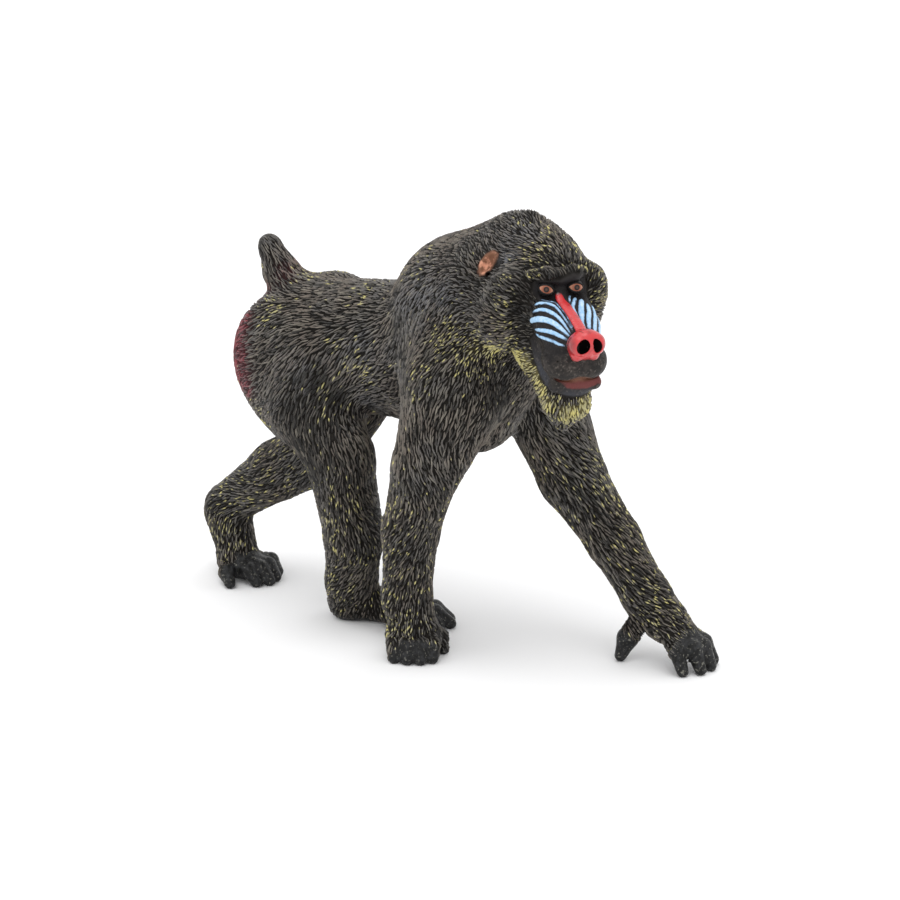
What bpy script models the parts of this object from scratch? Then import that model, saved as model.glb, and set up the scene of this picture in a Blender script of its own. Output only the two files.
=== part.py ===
# A painted toy figurine of a mandrill, moulded in solid plastic, walking on all fours.
# It is shaped like clay from rounded bars and eggs, then parted with thin cuts where its parts meet.
# Sizes are in millimetres: forward is +X, the animal's left is +Y, up is +Z, and the floor is z = 0.

import itertools
import math
import bpy
import numpy as np
from mathutils import Vector

MM = 0.001
COLLECTION_NAME = "toy_mandrill"
BOX_CENTRE = (-11.139, 0.286)
COARSE_STEP = 0.62
FINE_STEP = 0.4
CLAY_LOW = (-61.0, -19.0, -2.0)
CLAY_HIGH = (38.0, 19.0, 73.0)
FINE_LOW = (3.0, -19.0, 40.0)
FINE_HIGH = (37.0, 8.0, 73.0)
FAR = 9.0
TRIANGLES = 10200
GAP = 0.3

# Trunk and tail
PELVIS = (-31.5, 0, 42.5)
LOINS = (-21.0, 0, 44.0)
RIBS = (-6.0, 0, 45.5)
CHEST = (-1.5, 0, 46.5)
WITHERS = (-5.0, 0, 52.3)
NAPE = (9.0, -2.0, 59.2)
THROAT = (9.0, -2.3, 53.5)
RUMP = (-34.6, 4.5, 40.4)
TAIL_ROOT = (-34.4, 0, 49.2)
TAIL_BEND = (-38.2, 0, 52.8)
TAIL_TIP = (-40.6, 0, 57.3)

# Right arm, upright under the shoulder, and left arm, reaching forward
SHOULDER_RIGHT = (1.5, -8.6, 47.0)
ELBOW_RIGHT = (-1.2, -10.8, 31.0)
FOREARM_RIGHT = (-5.2, -9.6, 20.0)
WRIST_RIGHT = (-7.1, -8.2, 8.5)
PALM_RIGHT = (-6.0, -7.6, 0)
SHOULDER_LEFT = (3.6, 8.6, 46.0)
ELBOW_LEFT = (9.5, 11.4, 26.1)
FOREARM_LEFT = (17.0, 12.0, 17.3)
WRIST_LEFT = (23.2, 12.1, 9.6)
PALM_LEFT = (26.6, 12.0, 6.7)
KNUCKLES_LEFT = (29.8, 12.0, 4.8)

# Right leg, flat on its sole under the belly, and left leg, pushing off behind
HIP_RIGHT = (-28.8, -5.8, 38.5)
KNEE_RIGHT = (-19.0, -8.3, 28.1)
SHANK_RIGHT = (-20.0, -4.9, 15.0)
ANKLE_RIGHT = (-22.4, -2.8, 6.6)
HEEL_RIGHT = (-23.8, -1.8, 0)
HIP_LEFT = (-30.5, 5.8, 37.5)
KNEE_LEFT = (-34.0, 6.3, 23.6)
SHANK_LEFT = (-43.7, 5.2, 18.3)
ANKLE_LEFT = (-53.5, 4.2, 11.0)
BALL_LEFT = (-50.6, 2.6, 0)

# The head's own frame starts between the eyes and runs down the muzzle
NASION = (20.2, -7.0, 61.4)
MUZZLE_LINE = (0.738, -0.439, -0.509)
HEAD_UP = (0.0, 0.03, 1.0)
EYE_SPACING = 4.5
EYE_RADIUS = 1.15
EYE_CENTRE = (0.35, EYE_SPACING / 2, 0.55)
EAR_RIGHT = (-8.2, -7.3, -3.2)
EAR_LEFT = (-8.4, 6.9, -4.3)
EAR_OUTWARD = (0.35, 0.75, 0.55)
EAR_UP = (-0.38, -0.64, 0.667)

# Carved locks of the crest, ruff, beard and nape
LOCK_SEED = 11
LOCK_LENGTH = 6.6
LOCK_RADIUS = 0.95
LOCK_STATIONS = ((0.0, -0.8, 0.6), (0.3, -0.66, 1.0), (0.7, -0.5, 0.8), (1.0, -0.25, 0.35))
EAR_CLEARANCE = 4.2
HOOD_ROWS = ((-1.8, 17), (-4.8, 19), (-7.8, 18), (-10.8, 14), (-13.0, 8))
NAPE_ROWS = ((6.0, 13), (2.2, 13), (-1.6, 12), (-5.4, 11))
BEARD_ROOTS = ((13.2, 0.8, -9.4), (12.6, 2.5, -9.6), (10.4, 3.9, -9.6), (7.6, 4.3, -9.0), (4.8, 4.6, -8.2),
               (12.6, 1.4, -11.6), (10.8, 3.2, -12.0))


def point(*place):
    return np.array(place, float)


def unit(vector):
    vector = np.asarray(vector, float)
    return vector / np.linalg.norm(vector)


class Axes:
    # Forward, left and up directions at an origin.
    def __init__(self, origin, forward, up=(0, 0, 1)):
        self.origin = np.asarray(origin, float)
        self.forward = unit(forward)
        self.left = unit(np.cross(up, self.forward))
        self.up = np.cross(self.forward, self.left)

    def at(self, forward, left=0.0, up=0.0):
        return self.origin + self.turn(forward, left, up)

    def turn(self, forward, left=0.0, up=0.0):
        return forward * self.forward + left * self.left + up * self.up


def bar(start, end, start_radius, end_radius, blend=1.0, flat=None, cut=False):
    # A round bar that tapers from start to end; flat = (axis, ratio) widens it along the axis.
    start = np.asarray(start, float)
    end = np.asarray(end, float)
    run = end - start
    run_squared = run @ run
    wide_axis, ratio = (unit(flat[0]), flat[1]) if flat else (None, 1.0)
    reach = max(start_radius, end_radius) * max(1.0, ratio)

    def distance(x, y, z):
        px, py, pz = x - start[0], y - start[1], z - start[2]
        along = np.clip((px * run[0] + py * run[1] + pz * run[2]) / run_squared, 0, 1)
        px, py, pz = px - along * run[0], py - along * run[1], pz - along * run[2]
        squared = px * px + py * py + pz * pz
        if flat:
            across = px * wide_axis[0] + py * wide_axis[1] + pz * wide_axis[2]
            squared = squared + across * across * (1 / ratio ** 2 - 1)
        return np.sqrt(squared) - start_radius - (end_radius - start_radius) * along

    return distance, np.minimum(start, end) - reach, np.maximum(start, end) + reach, blend, cut


def egg(centre, radii, forward=(1, 0, 0), up=(0, 0, 1), blend=1.0, cut=False):
    # An ellipsoid whose radii run along forward, left and up.
    axes = Axes(centre, forward, up)
    rows = np.array([axes.forward, axes.left, axes.up])
    reach = np.abs(rows.T * np.asarray(radii, float)).sum(axis=1)

    def distance(x, y, z):
        px, py, pz = x - axes.origin[0], y - axes.origin[1], z - axes.origin[2]
        near = slope = 0.0
        for row, radius in zip(rows, radii):
            share = (px * row[0] + py * row[1] + pz * row[2]) / radius
            near = near + share * share
            slope = slope + share * share / (radius * radius)
        near = np.sqrt(near)
        return near * (near - 1) / np.sqrt(np.maximum(slope, 1e-12))

    return distance, axes.origin - reach, axes.origin + reach, blend, cut


def soft_min(a, b, blend):
    overlap = np.maximum(blend - np.abs(a - b), 0)
    return np.minimum(a, b) - overlap * overlap / (4 * blend)


def graded(low, high, fine_low, fine_high):
    # Grid lines that stand closer together between fine_low and fine_high.
    before = np.arange(low, fine_low, COARSE_STEP)
    fine = np.arange(fine_low, fine_high, FINE_STEP)
    after = np.arange(fine_high, high + COARSE_STEP, COARSE_STEP)
    return np.concatenate([before, fine, after]).astype(np.float32)


class Clay:
    # A block of distances to the surface, negative inside, that shapes are pressed into.
    def __init__(self):
        ends = zip(CLAY_LOW, CLAY_HIGH, FINE_LOW, FINE_HIGH)
        self.lines = [graded(*four) for four in ends]
        self.field = np.full([len(line) for line in self.lines], FAR, np.float32)

    def window(self, low, high, margin):
        spans = []
        for line, start, end in zip(self.lines, low, high):
            spans.append(slice(*np.searchsorted(line, [start - margin, end + margin])))
        return tuple(spans)

    def coordinates(self, window):
        x, y, z = (line[span] for line, span in zip(self.lines, window))
        return x[:, None, None], y[None, :, None], z[None, None, :]

    def press(self, shapes, blend=None):
        # The shapes join one another by their own blends, and what is there by the given one.
        low = np.min([shape[1] for shape in shapes], axis=0)
        high = np.max([shape[2] for shape in shapes], axis=0)
        margin = 2.0 + max([shape[3] for shape in shapes] + [blend or 0])
        outer = self.window(low, high, margin)
        lump = self.field[outer].copy()
        if blend:
            lump[:] = FAR
        for distance, start, end, own_blend, cut in shapes:
            window = self.window(start, end, 2.0 + own_blend)
            inner = tuple(slice(w.start - o.start, w.stop - o.start) for w, o in zip(window, outer))
            there = distance(*self.coordinates(window)).astype(np.float32)
            if cut:
                lump[inner] = -soft_min(-lump[inner], there, own_blend)
            else:
                lump[inner] = soft_min(lump[inner], there, own_blend)
        self.field[outer] = soft_min(self.field[outer], lump, blend) if blend else lump

    def sample(self, places):
        # The distance at each place, read between the grid's points.
        spans = []
        for line, value in zip(self.lines, places.T):
            low = np.clip(np.searchsorted(line, value) - 1, 0, len(line) - 2)
            spans.append((low, np.clip((value - line[low]) / (line[low + 1] - line[low]), 0, 1)))
        total = 0
        for corner in itertools.product((0, 1), repeat=3):
            share = 1
            for (low, part), side in zip(spans, corner):
                share = share * (part if side else 1 - part)
            total = total + share * self.field[tuple(low + side for (low, part), side in zip(spans, corner))]
        return total

    def outward(self, places):
        steps = np.eye(3) * FINE_STEP
        slope = np.stack([self.sample(places + step) - self.sample(places - step) for step in steps], axis=1)
        return slope / np.maximum(np.linalg.norm(slope, axis=1, keepdims=True), 1e-9)

    def settle(self, places, height):
        # Moves each place until it stands at that height over the surface.
        for _ in range(6):
            places = places - self.outward(places) * (self.sample(places) - height)[:, None]
        return places

    def surface(self):
        # One point in each cell that the surface crosses, and one face round each crossed grid edge.
        inside = self.field < 0
        cells = [count - 1 for count in self.field.shape]
        crossings = np.zeros(cells, np.int32)
        total = np.zeros([3] + cells, np.float32)
        for axis in range(3):
            sides = [other for other in range(3) if other != axis]
            for corner in itertools.product((0, 1), repeat=2):
                first = [0, 0, 0]
                first[sides[0]], first[sides[1]] = corner
                second = list(first)
                second[axis] = 1
                one, two = (tuple(slice(o, o + n) for o, n in zip(at, cells)) for at in (first, second))
                crossed = inside[one] != inside[two]
                step = self.field[one] - self.field[two]
                total[axis] += np.where(crossed, self.field[one] / np.where(crossed, step, 1), 0)
                for side, offset in zip(sides, corner):
                    total[side] += offset * crossed
                crossings += crossed
        used = crossings > 0
        index = np.full(cells, -1)
        index[used] = np.arange(used.sum())
        where = np.argwhere(used)
        share = total[:, used].T / crossings[used][:, None]
        columns = []
        for axis, line in enumerate(self.lines):
            start = line[where[:, axis]]
            columns.append(start + share[:, axis] * (line[where[:, axis] + 1] - start))
        faces = []
        steps = np.eye(3, dtype=int)
        for axis in range(3):
            sides = [other for other in range(3) if other != axis]
            one, two = (tuple(span if a == axis else slice(1, -1) for a in range(3))
                        for span in (slice(0, -1), slice(1, None)))
            crossed = inside[one] != inside[two]
            at = np.argwhere(crossed) + steps[sides[0]] + steps[sides[1]]
            round_edge = [0 * steps[0], steps[sides[0]], steps[sides[0]] + steps[sides[1]], steps[sides[1]]]
            quads = np.stack([index[tuple((at - back).T)] for back in round_edge], axis=1)
            turned = inside[one][crossed] == (axis == 1)
            quads[turned] = quads[turned][:, ::-1]
            faces.append(quads)
        return np.stack(columns, axis=1), np.concatenate(faces)


def chain(joints, radii, blend=1.3):
    # Bars from joint to joint, each taking its radius from the joint that it reaches.
    pairs = zip(joints, joints[1:], radii, radii[1:])
    return [bar(a, b, ra, rb, blend) for a, b, ra, rb in pairs]


def digit(clay, places, root_radius):
    clay.press(chain(places, (root_radius, 0.92 * root_radius, 0.95), 0.5), 0.6)


def trunk(clay):
    clay.press([
        bar(PELVIS, LOINS, 10.3, 9.2, 4, flat=((0, 1, 0), 0.84)),
        bar(LOINS, RIBS, 9.3, 12.2, 4, flat=((0, 1, 0), 0.82)),
        egg(CHEST, (9.5, 9.6, 15.2), (1, 0, 0.15), blend=5),
        egg(WITHERS, (9.0, 6.4, 7.2), (1, 0, 0.5), blend=4),
        bar((-2, -0.3, 55.6), NAPE, 8.4, 8.0, 4),
        bar((-6, 0, 56.7), (8, -1.6, 64.9), 4.0, 4.6, 4),
        bar((-3, -3.6, 54.5), (5.5, -5.6, 58.8), 6.0, 5.4, 4),
        bar((-3, 3.4, 54.5), (8.5, 3.6, 58.5), 6.0, 5.2, 4),
        bar((4.5, -0.5, 46.5), THROAT, 7.0, 6.8, 4, flat=((0, 1, 0), 0.9)),
        egg((-30.4, 4.8, 49.6), (4.8, 3.4, 3.4), blend=3),
    ], blend=0.5)
    for side in (-1, 1):
        clay.press([egg(point(*RUMP) * (1, side, 1), (8.4, 5.6, 9.8), blend=3)])
    clay.press(chain((TAIL_ROOT, TAIL_BEND, TAIL_TIP), (3.8, 2.65, 2.0), 1.6), 2.2)


def right_arm(clay):
    clay.press([
        egg(SHOULDER_RIGHT, (7.4, 4.8, 10.3), (1, 0, -0.2), blend=3),
        bar((1.6, -9.0, 43), ELBOW_RIGHT, 6.6, 5.0, 3),
        bar((4.6, -7.6, 41), (1.6, -9.6, 34), 4.4, 3.6, 3),
        *chain((ELBOW_RIGHT, FOREARM_RIGHT, WRIST_RIGHT), (5.0, 4.15, 3.6)),
    ], blend=2.5)
    hand = Axes(PALM_RIGHT, (0.62, -0.79, 0))
    clay.press([
        bar(WRIST_RIGHT, hand.at(0.2, 0, 3.5), 3.6, 3.4, 1.5, flat=(hand.forward, 0.92)),
        egg(hand.at(1.0, -0.2, 2.8), (3.5, 4.3, 2.9), hand.forward, blend=1.5),
    ], blend=1.5)
    for side, reach in ((-3.1, 5.2), (-1.15, 6.0), (0.85, 6.1), (2.7, 5.4)):
        places = [hand.at(2.0, 0.92 * side, 2.6), hand.at(reach - 1.4, side, 2.6), hand.at(reach, side, 0.8)]
        digit(clay, places, 1.32)
    digit(clay, [hand.at(-1.6, 2.9, 2.6), hand.at(-0.3, 3.9, 2.2), hand.at(1.2, 4.3, 0.8)], 1.3)


def left_arm(clay):
    clay.press([
        egg(SHOULDER_LEFT, (6.8, 4.6, 9.6), (1, 0, -0.4), blend=3),
        bar((3.4, 9.0, 42), ELBOW_LEFT, 6.9, 5.0, 3),
        *chain((ELBOW_LEFT, FOREARM_LEFT, WRIST_LEFT), (4.9, 3.95, 3.5)),
    ], blend=2.5)
    clay.press([
        bar(WRIST_LEFT, PALM_LEFT, 3.5, 3.0, 1.5),
        bar(PALM_LEFT, KNUCKLES_LEFT, 2.8, 2.3, 1.5, flat=((0, 1, 0), 1.3)),
    ], blend=1.5)
    knuckles = point(*KNUCKLES_LEFT)
    for side, reach, radius in ((-2.2, 2.7, 1.3), (-0.7, 4.4, 1.38), (0.9, 4.6, 1.32), (2.5, 3.4, 1.22)):
        root = knuckles + (0.0 - abs(side) * 0.2, side, -0.2)
        joint = knuckles + (reach - 1.4, 1.35 * side - 0.3, -1.0 - abs(side) * 0.1)
        tip = point(knuckles[0] + reach, knuckles[1] + 1.5 * side - 0.3, 0.8)
        digit(clay, [root, joint, tip], radius)
    digit(clay, [point(23.6, 10.6, 7.0), point(21.9, 9.0, 3.6), point(21.2, 8.2, 0.85)], 1.75)


def foot(clay, heel, heading, outward, toes, hallux):
    # Toes run from the inner one out, each as (side, root, joint, tip) along the foot.
    sole = Axes(heel, heading)
    for side, root, joint, tip in toes:
        across = outward * side
        places = [sole.at(root, 0.85 * across, 2.1), sole.at(joint, across, 2.35), sole.at(tip, across, 0.8)]
        digit(clay, places, 1.3)
    places = [sole.at(along, -outward * side, height) for along, side, height in hallux]
    digit(clay, places, 1.35)


def right_leg(clay):
    clay.press([
        egg(HIP_RIGHT, (9.2, 5.6, 11.3), (1, -0.1, -0.55), blend=3),
        bar((-26.5, -6.4, 35.6), point(*KNEE_RIGHT) + (-1.6, 0.4, 0.6), 7.0, 5.2, 3),
        egg(KNEE_RIGHT, (4.2, 4.0, 5.2), (1, -0.3, -0.4), blend=2),
        *chain((point(*KNEE_RIGHT) + (-1.2, 0.8, -2), SHANK_RIGHT, ANKLE_RIGHT), (5.0, 4.5, 3.9)),
    ], blend=2.5)
    sole = Axes(HEEL_RIGHT, (1, 0.36, 0))
    clay.press([
        bar(ANKLE_RIGHT, sole.at(0.2, 0, 2.9), 3.7, 3.05, 1.5),
        bar(sole.at(0, 0, 2.75), sole.at(9.8, 0.3, 2.2), 2.9, 2.5, 1.5, flat=(sole.left, 1.15)),
    ], blend=1.5)
    toes = ((-1.8, 9.0, 13.6, 16.0), (0.2, 9.5, 14.2, 16.8), (2.1, 9.0, 13.2, 15.6), (3.9, 7.6, 11.2, 13.2))
    hallux = ((5.6, 1.6, 2.0), (8.8, 3.8, 1.9), (10.8, 4.4, 0.8))
    foot(clay, HEEL_RIGHT, (1, 0.36, 0), -1, toes, hallux)


def left_leg(clay):
    clay.press([
        egg(HIP_LEFT, (9.0, 5.6, 11.3), (1, 0.1, -0.2), blend=3),
        bar((-31.5, 6.1, 33), point(*KNEE_LEFT) + (0.5, 0, 2), 7.4, 5.6, 3),
        *chain((point(*KNEE_LEFT) + (0, 0, 0.4), SHANK_LEFT, ANKLE_LEFT), (5.8, 4.6, 3.4)),
    ], blend=2.5)
    ball = Axes(BALL_LEFT, (1, -0.12, 0))
    clay.press([
        bar((-53.4, 4.0, 9.0), ball.at(0.5, 0, 2.9), 3.5, 2.9, 1.5, flat=((0, 1, 0), 1.1)),
        egg((-54.8, 4.2, 10.2), (2.4, 2.7, 3.0), blend=1.5),
        bar(ball.at(0, 0, 2.6), ball.at(3.0, 0, 2.0), 2.6, 2.1, 1.5, flat=((0, 1, 0), 1.25)),
    ], blend=1.5)
    toes = ((-2.0, 2.0, 4.8, 6.8), (0.0, 2.2, 5.6, 7.7), (2.0, 2.0, 5.2, 7.0), (3.9, 1.4, 3.8, 5.4))
    hallux = ((0.2, 1.6, 2.4), (2.4, 4.4, 2.0), (4.2, 5.4, 0.85))
    foot(clay, BALL_LEFT, (1, -0.12, 0), 1, toes, hallux)


def head(clay, skull):
    # Places on the head are (along the muzzle, to the left, up from it).
    def lump(place, radii, blend, forward=(1, 0, 0), up=(0, 0, 1), cut=False):
        return egg(skull.at(*place), radii, skull.turn(*forward), skull.turn(*up), blend, cut)

    def roll(start, end, start_radius, end_radius, blend, flat=None, cut=False):
        flat = (skull.left, flat) if flat else None
        return bar(skull.at(*start), skull.at(*end), start_radius, end_radius, blend, flat, cut)

    hood = [
        lump((-7.5, 0, -4.4), (7.5, 7.6, 7.3), 3),
        roll((-12.3, 0, -2.6), (-3.2, 0, -1.9), 3.7, 3.3, 3),
        roll((-12.7, 0, -1.0), (-13.7, 0, 1.6), 2.0, 0.6, 1.6),
    ]
    face = [
        lump((0.2, 0, -3.8), (3.0, 5.0, 4.4), 2),
        roll((-1.5, 0, -4.4), (9.2, 0, -4.5), 4.2, 3.6, 1.5),
        roll((0.5, 0, -8.2), (10.2, 0, -8.0), 3.9, 3.3, 1.0),
        roll((2, 0, -9.6), (11.6, 0, -11.2), 4.4, 2.9, 1.8, flat=1.22),
        roll((11.9, 0, -12.4), (12.7, 0, -15.2), 2.4, 0.9, 1.4, flat=1.35),
    ]
    detail = [
        roll((0.0, 0, -0.6), (10.0, 0, -0.1), 0.8, 1.1, 0.8),
        lump((11.5, 0, 0.2), (1.9, 2.85, 2.5), 0.6),
        roll((12.1, -3.0, -7.2), (12.1, 3.0, -7.2), 1.1, 1.1, 0.6),
    ]
    for side in (-1, 1):
        hood.append(lump((-3.0, 5.9 * side, -5.0), (3.3, 3.8, 6.0), 2.5))
        hood.append(lump((-5.6, 5.4 * side, -9.6), (6.5, 4.2, 4.6), 3, (1, 0, 0.35)))
        face.append(lump((9.9, 1.8 * side, -4.5), (3.3, 3.1, 2.6), 1.0))
        face.append(roll((-1.7, 3.9 * side, 1.5), (-0.7, 2.0 * side, 2.3), 0.8, 0.95, 1.6))
        face.append(roll((-0.7, 2.0 * side, 2.3), (-0.7, 0, 1.8), 0.95, 0.8, 1.4))
        detail.append(lump((4.0, 2.7 * side, -2.4), (5.2, 2.1, 2.4), 0.8))
        detail.append(roll((1.7, 2.4 * side, -1.5), (9.3, 2.0 * side, -1.3), 1.7, 1.5, 0.8))
    for side in (-1, 1):
        detail.append(lump((1.6, EYE_SPACING / 2 * side, 0.9), (1.3, 1.3, 0.95), 0.5, cut=True))
        detail.append(lump((12.9, 1.05 * side, 1.5), (1.0, 0.7, 0.75), 0.3, cut=True))
        detail.append(roll((7.2, 4.7 * side, -6.3), (12.0, 2.9 * side, -5.8), 0.35, 0.35, 0.5, cut=True))
        detail.append(roll((12.0, 2.9 * side, -5.8), (13.2, 0, -5.6), 0.35, 0.35, 0.5, cut=True))
    clay.press(hood, 2.5)
    clay.press(face, 1.2)
    clay.press(detail)
    for side in (-1, 1):
        outward, upward = (np.multiply(way, (1, side, 1)) for way in (EAR_OUTWARD, EAR_UP))
        centre = EAR_LEFT if side > 0 else EAR_RIGHT
        clay.press([lump(centre, (1.0, 1.35, 2.8), 0.8, outward, upward)], 0.8)
        clay.press([lump(centre + 1.1 * unit(outward), (0.8, 0.85, 1.9), 0.4, outward, upward, cut=True)])


def lock(clay, root, lie, length, radius):
    # A tapered stroke that hugs the surface; stations are (share of length, height, width).
    places = clay.settle(point(*root)[None], 0)
    bars = []
    for before, after in zip(LOCK_STATIONS, LOCK_STATIONS[1:]):
        normal = clay.outward(places[-1:])[0]
        along = unit(lie - normal * (lie @ normal)) * length * (after[0] - before[0])
        places = np.vstack([places, clay.settle(places[-1:] + along, 0)])
        start = places[-2] + normal * before[1] * radius
        end = places[-1] + clay.outward(places[-1:])[0] * after[1] * radius
        bars.append(bar(start, end, before[2] * radius, after[2] * radius, 0.2))
    return bars


def carved_locks(clay, skull):
    # Rows round the hood and the nape lie back and down, and those of the beard hang.
    draw = np.random.default_rng(LOCK_SEED)
    strokes = []
    ears = [skull.at(*centre) for centre in (EAR_RIGHT, EAR_LEFT)]
    for along, count in HOOD_ROWS:
        for angle in np.linspace(-0.95, math.pi + 0.95, count) + draw.uniform(-0.05, 0.05, count):
            out = skull.turn(0, math.cos(angle), math.sin(angle))
            root = skull.at(along + draw.uniform(-0.5, 0.5), 0, -3.5) + 5.5 * out
            lie = skull.turn(-0.9) + 0.4 * out - (0, 0, 0.35)
            settled = clay.settle(root[None], 0)[0]
            if min(np.linalg.norm(settled + lie - ear) for ear in ears) > EAR_CLEARANCE:
                strokes.append(lock(clay, root, lie, LOCK_LENGTH, LOCK_RADIUS))
    for along, count in NAPE_ROWS:
        for angle in np.linspace(-0.1, math.pi + 0.1, count) + draw.uniform(-0.07, 0.07, count):
            out = point(0, math.cos(angle), math.sin(angle))
            root = point(along + draw.uniform(-0.6, 0.6), -0.15 * along, 50 + 0.4 * along) + 6 * out
            strokes.append(lock(clay, root, point(-1, 0, -0.5) + 0.2 * out, LOCK_LENGTH, LOCK_RADIUS))
    for forward, left, up in BEARD_ROOTS:
        for side in (-1, 1):
            root = skull.at(forward - 0.6, 0.9 * left * side, up)
            strokes.append(lock(clay, root, skull.turn(0.15, 0, -1), 0.7 * LOCK_LENGTH, 0.75 * LOCK_RADIUS))
    for stroke in strokes:
        clay.press(stroke)


def mesh_object(name, vertices, faces, collection):
    mesh = bpy.data.meshes.new(name)
    mesh.from_pydata(vertices.tolist(), [], faces.tolist())
    mesh.validate()
    made = bpy.data.objects.new(name, mesh)
    collection.objects.link(made)
    return made


def applied(thing):
    # Replaces the object's mesh by what its modifiers make of it.
    graph = bpy.context.evaluated_depsgraph_get()
    fresh = bpy.data.meshes.new_from_object(thing.evaluated_get(graph))
    old = thing.data
    thing.modifiers.clear()
    thing.data = fresh
    bpy.data.meshes.remove(old)


def placed(place):
    # A place of the model, in metres, with the middle of its box on the origin.
    return Vector(((place[0] - BOX_CENTRE[0]) * MM, (place[1] - BOX_CENTRE[1]) * MM, place[2] * MM))


def keep_as_cutter(cutter, cutters):
    for collection in list(cutter.users_collection):
        collection.objects.unlink(cutter)
    cutters.objects.link(cutter)
    cutter.hide_render = True
    cutter.display_type = "WIRE"


def disc_cut(place, normal, radius, cutters):
    bpy.ops.mesh.primitive_cylinder_add(vertices=24, radius=radius * MM, depth=GAP * MM, location=placed(place))
    disc = bpy.context.active_object
    disc.rotation_mode = "QUATERNION"
    disc.rotation_quaternion = Vector(tuple(normal)).to_track_quat("Z", "Y")
    keep_as_cutter(disc, cutters)


def shell_cut(place, radii, turn, cutters, segments=14):
    # A thin egg-shaped wall: what lies inside it parts from what lies outside.
    place = placed(place)
    for wall in (0.0, GAP):
        bpy.ops.mesh.primitive_uv_sphere_add(segments=segments, ring_count=segments // 2, radius=1, location=place)
        ball = bpy.context.active_object
        ball.scale = [(radius - wall) * MM for radius in radii]
        ball.rotation_mode = "QUATERNION"
        ball.rotation_quaternion = Vector(tuple(turn)).to_track_quat("Z", "Y")
        if wall:
            inner = ball
        else:
            outer = ball
    hollow = outer.modifiers.new("hollow", "BOOLEAN")
    hollow.operation = "DIFFERENCE"
    hollow.object = inner
    bpy.context.view_layer.update()
    applied(outer)
    bpy.data.objects.remove(inner)
    keep_as_cutter(outer, cutters)


def socket_cut(place, radius, cutters):
    bpy.ops.mesh.primitive_uv_sphere_add(segments=12, ring_count=8, radius=radius * MM, location=placed(place))
    keep_as_cutter(bpy.context.active_object, cutters)


def floor_cut(cutters):
    bpy.ops.mesh.primitive_cube_add(size=1, location=(0, 0, -2 * MM))
    slab = bpy.context.active_object
    slab.scale = (120 * MM, 60 * MM, 4 * MM)
    keep_as_cutter(slab, cutters)


def finish(name, colour, roughness):
    material = bpy.data.materials.new(name)
    material.use_nodes = True
    shader = material.node_tree.nodes["Principled BSDF"]
    shader.inputs["Base Color"].default_value = (*colour, 1)
    shader.inputs["Roughness"].default_value = roughness
    shader.inputs["Metallic"].default_value = 0.0
    return material


def islands(whole):
    bpy.ops.object.select_all(action="DESELECT")
    whole.select_set(True)
    bpy.context.view_layer.objects.active = whole
    bpy.ops.object.mode_set(mode="EDIT")
    bpy.ops.mesh.select_all(action="SELECT")
    bpy.ops.mesh.separate(type="LOOSE")
    bpy.ops.object.mode_set(mode="OBJECT")
    return list(bpy.context.selected_objects)


def middle(piece):
    places = np.empty(len(piece.data.vertices) * 3)
    piece.data.vertices.foreach_get("co", places)
    places = places.reshape(-1, 3)
    return Vector(((places.min(axis=0) + places.max(axis=0)) / 2).tolist())


def new_collection(name):
    collection = bpy.data.collections.new(name)
    bpy.context.scene.collection.children.link(collection)
    return collection


def between(a, b, share=0.5):
    return point(*a) * (1 - share) + point(*b) * share


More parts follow.
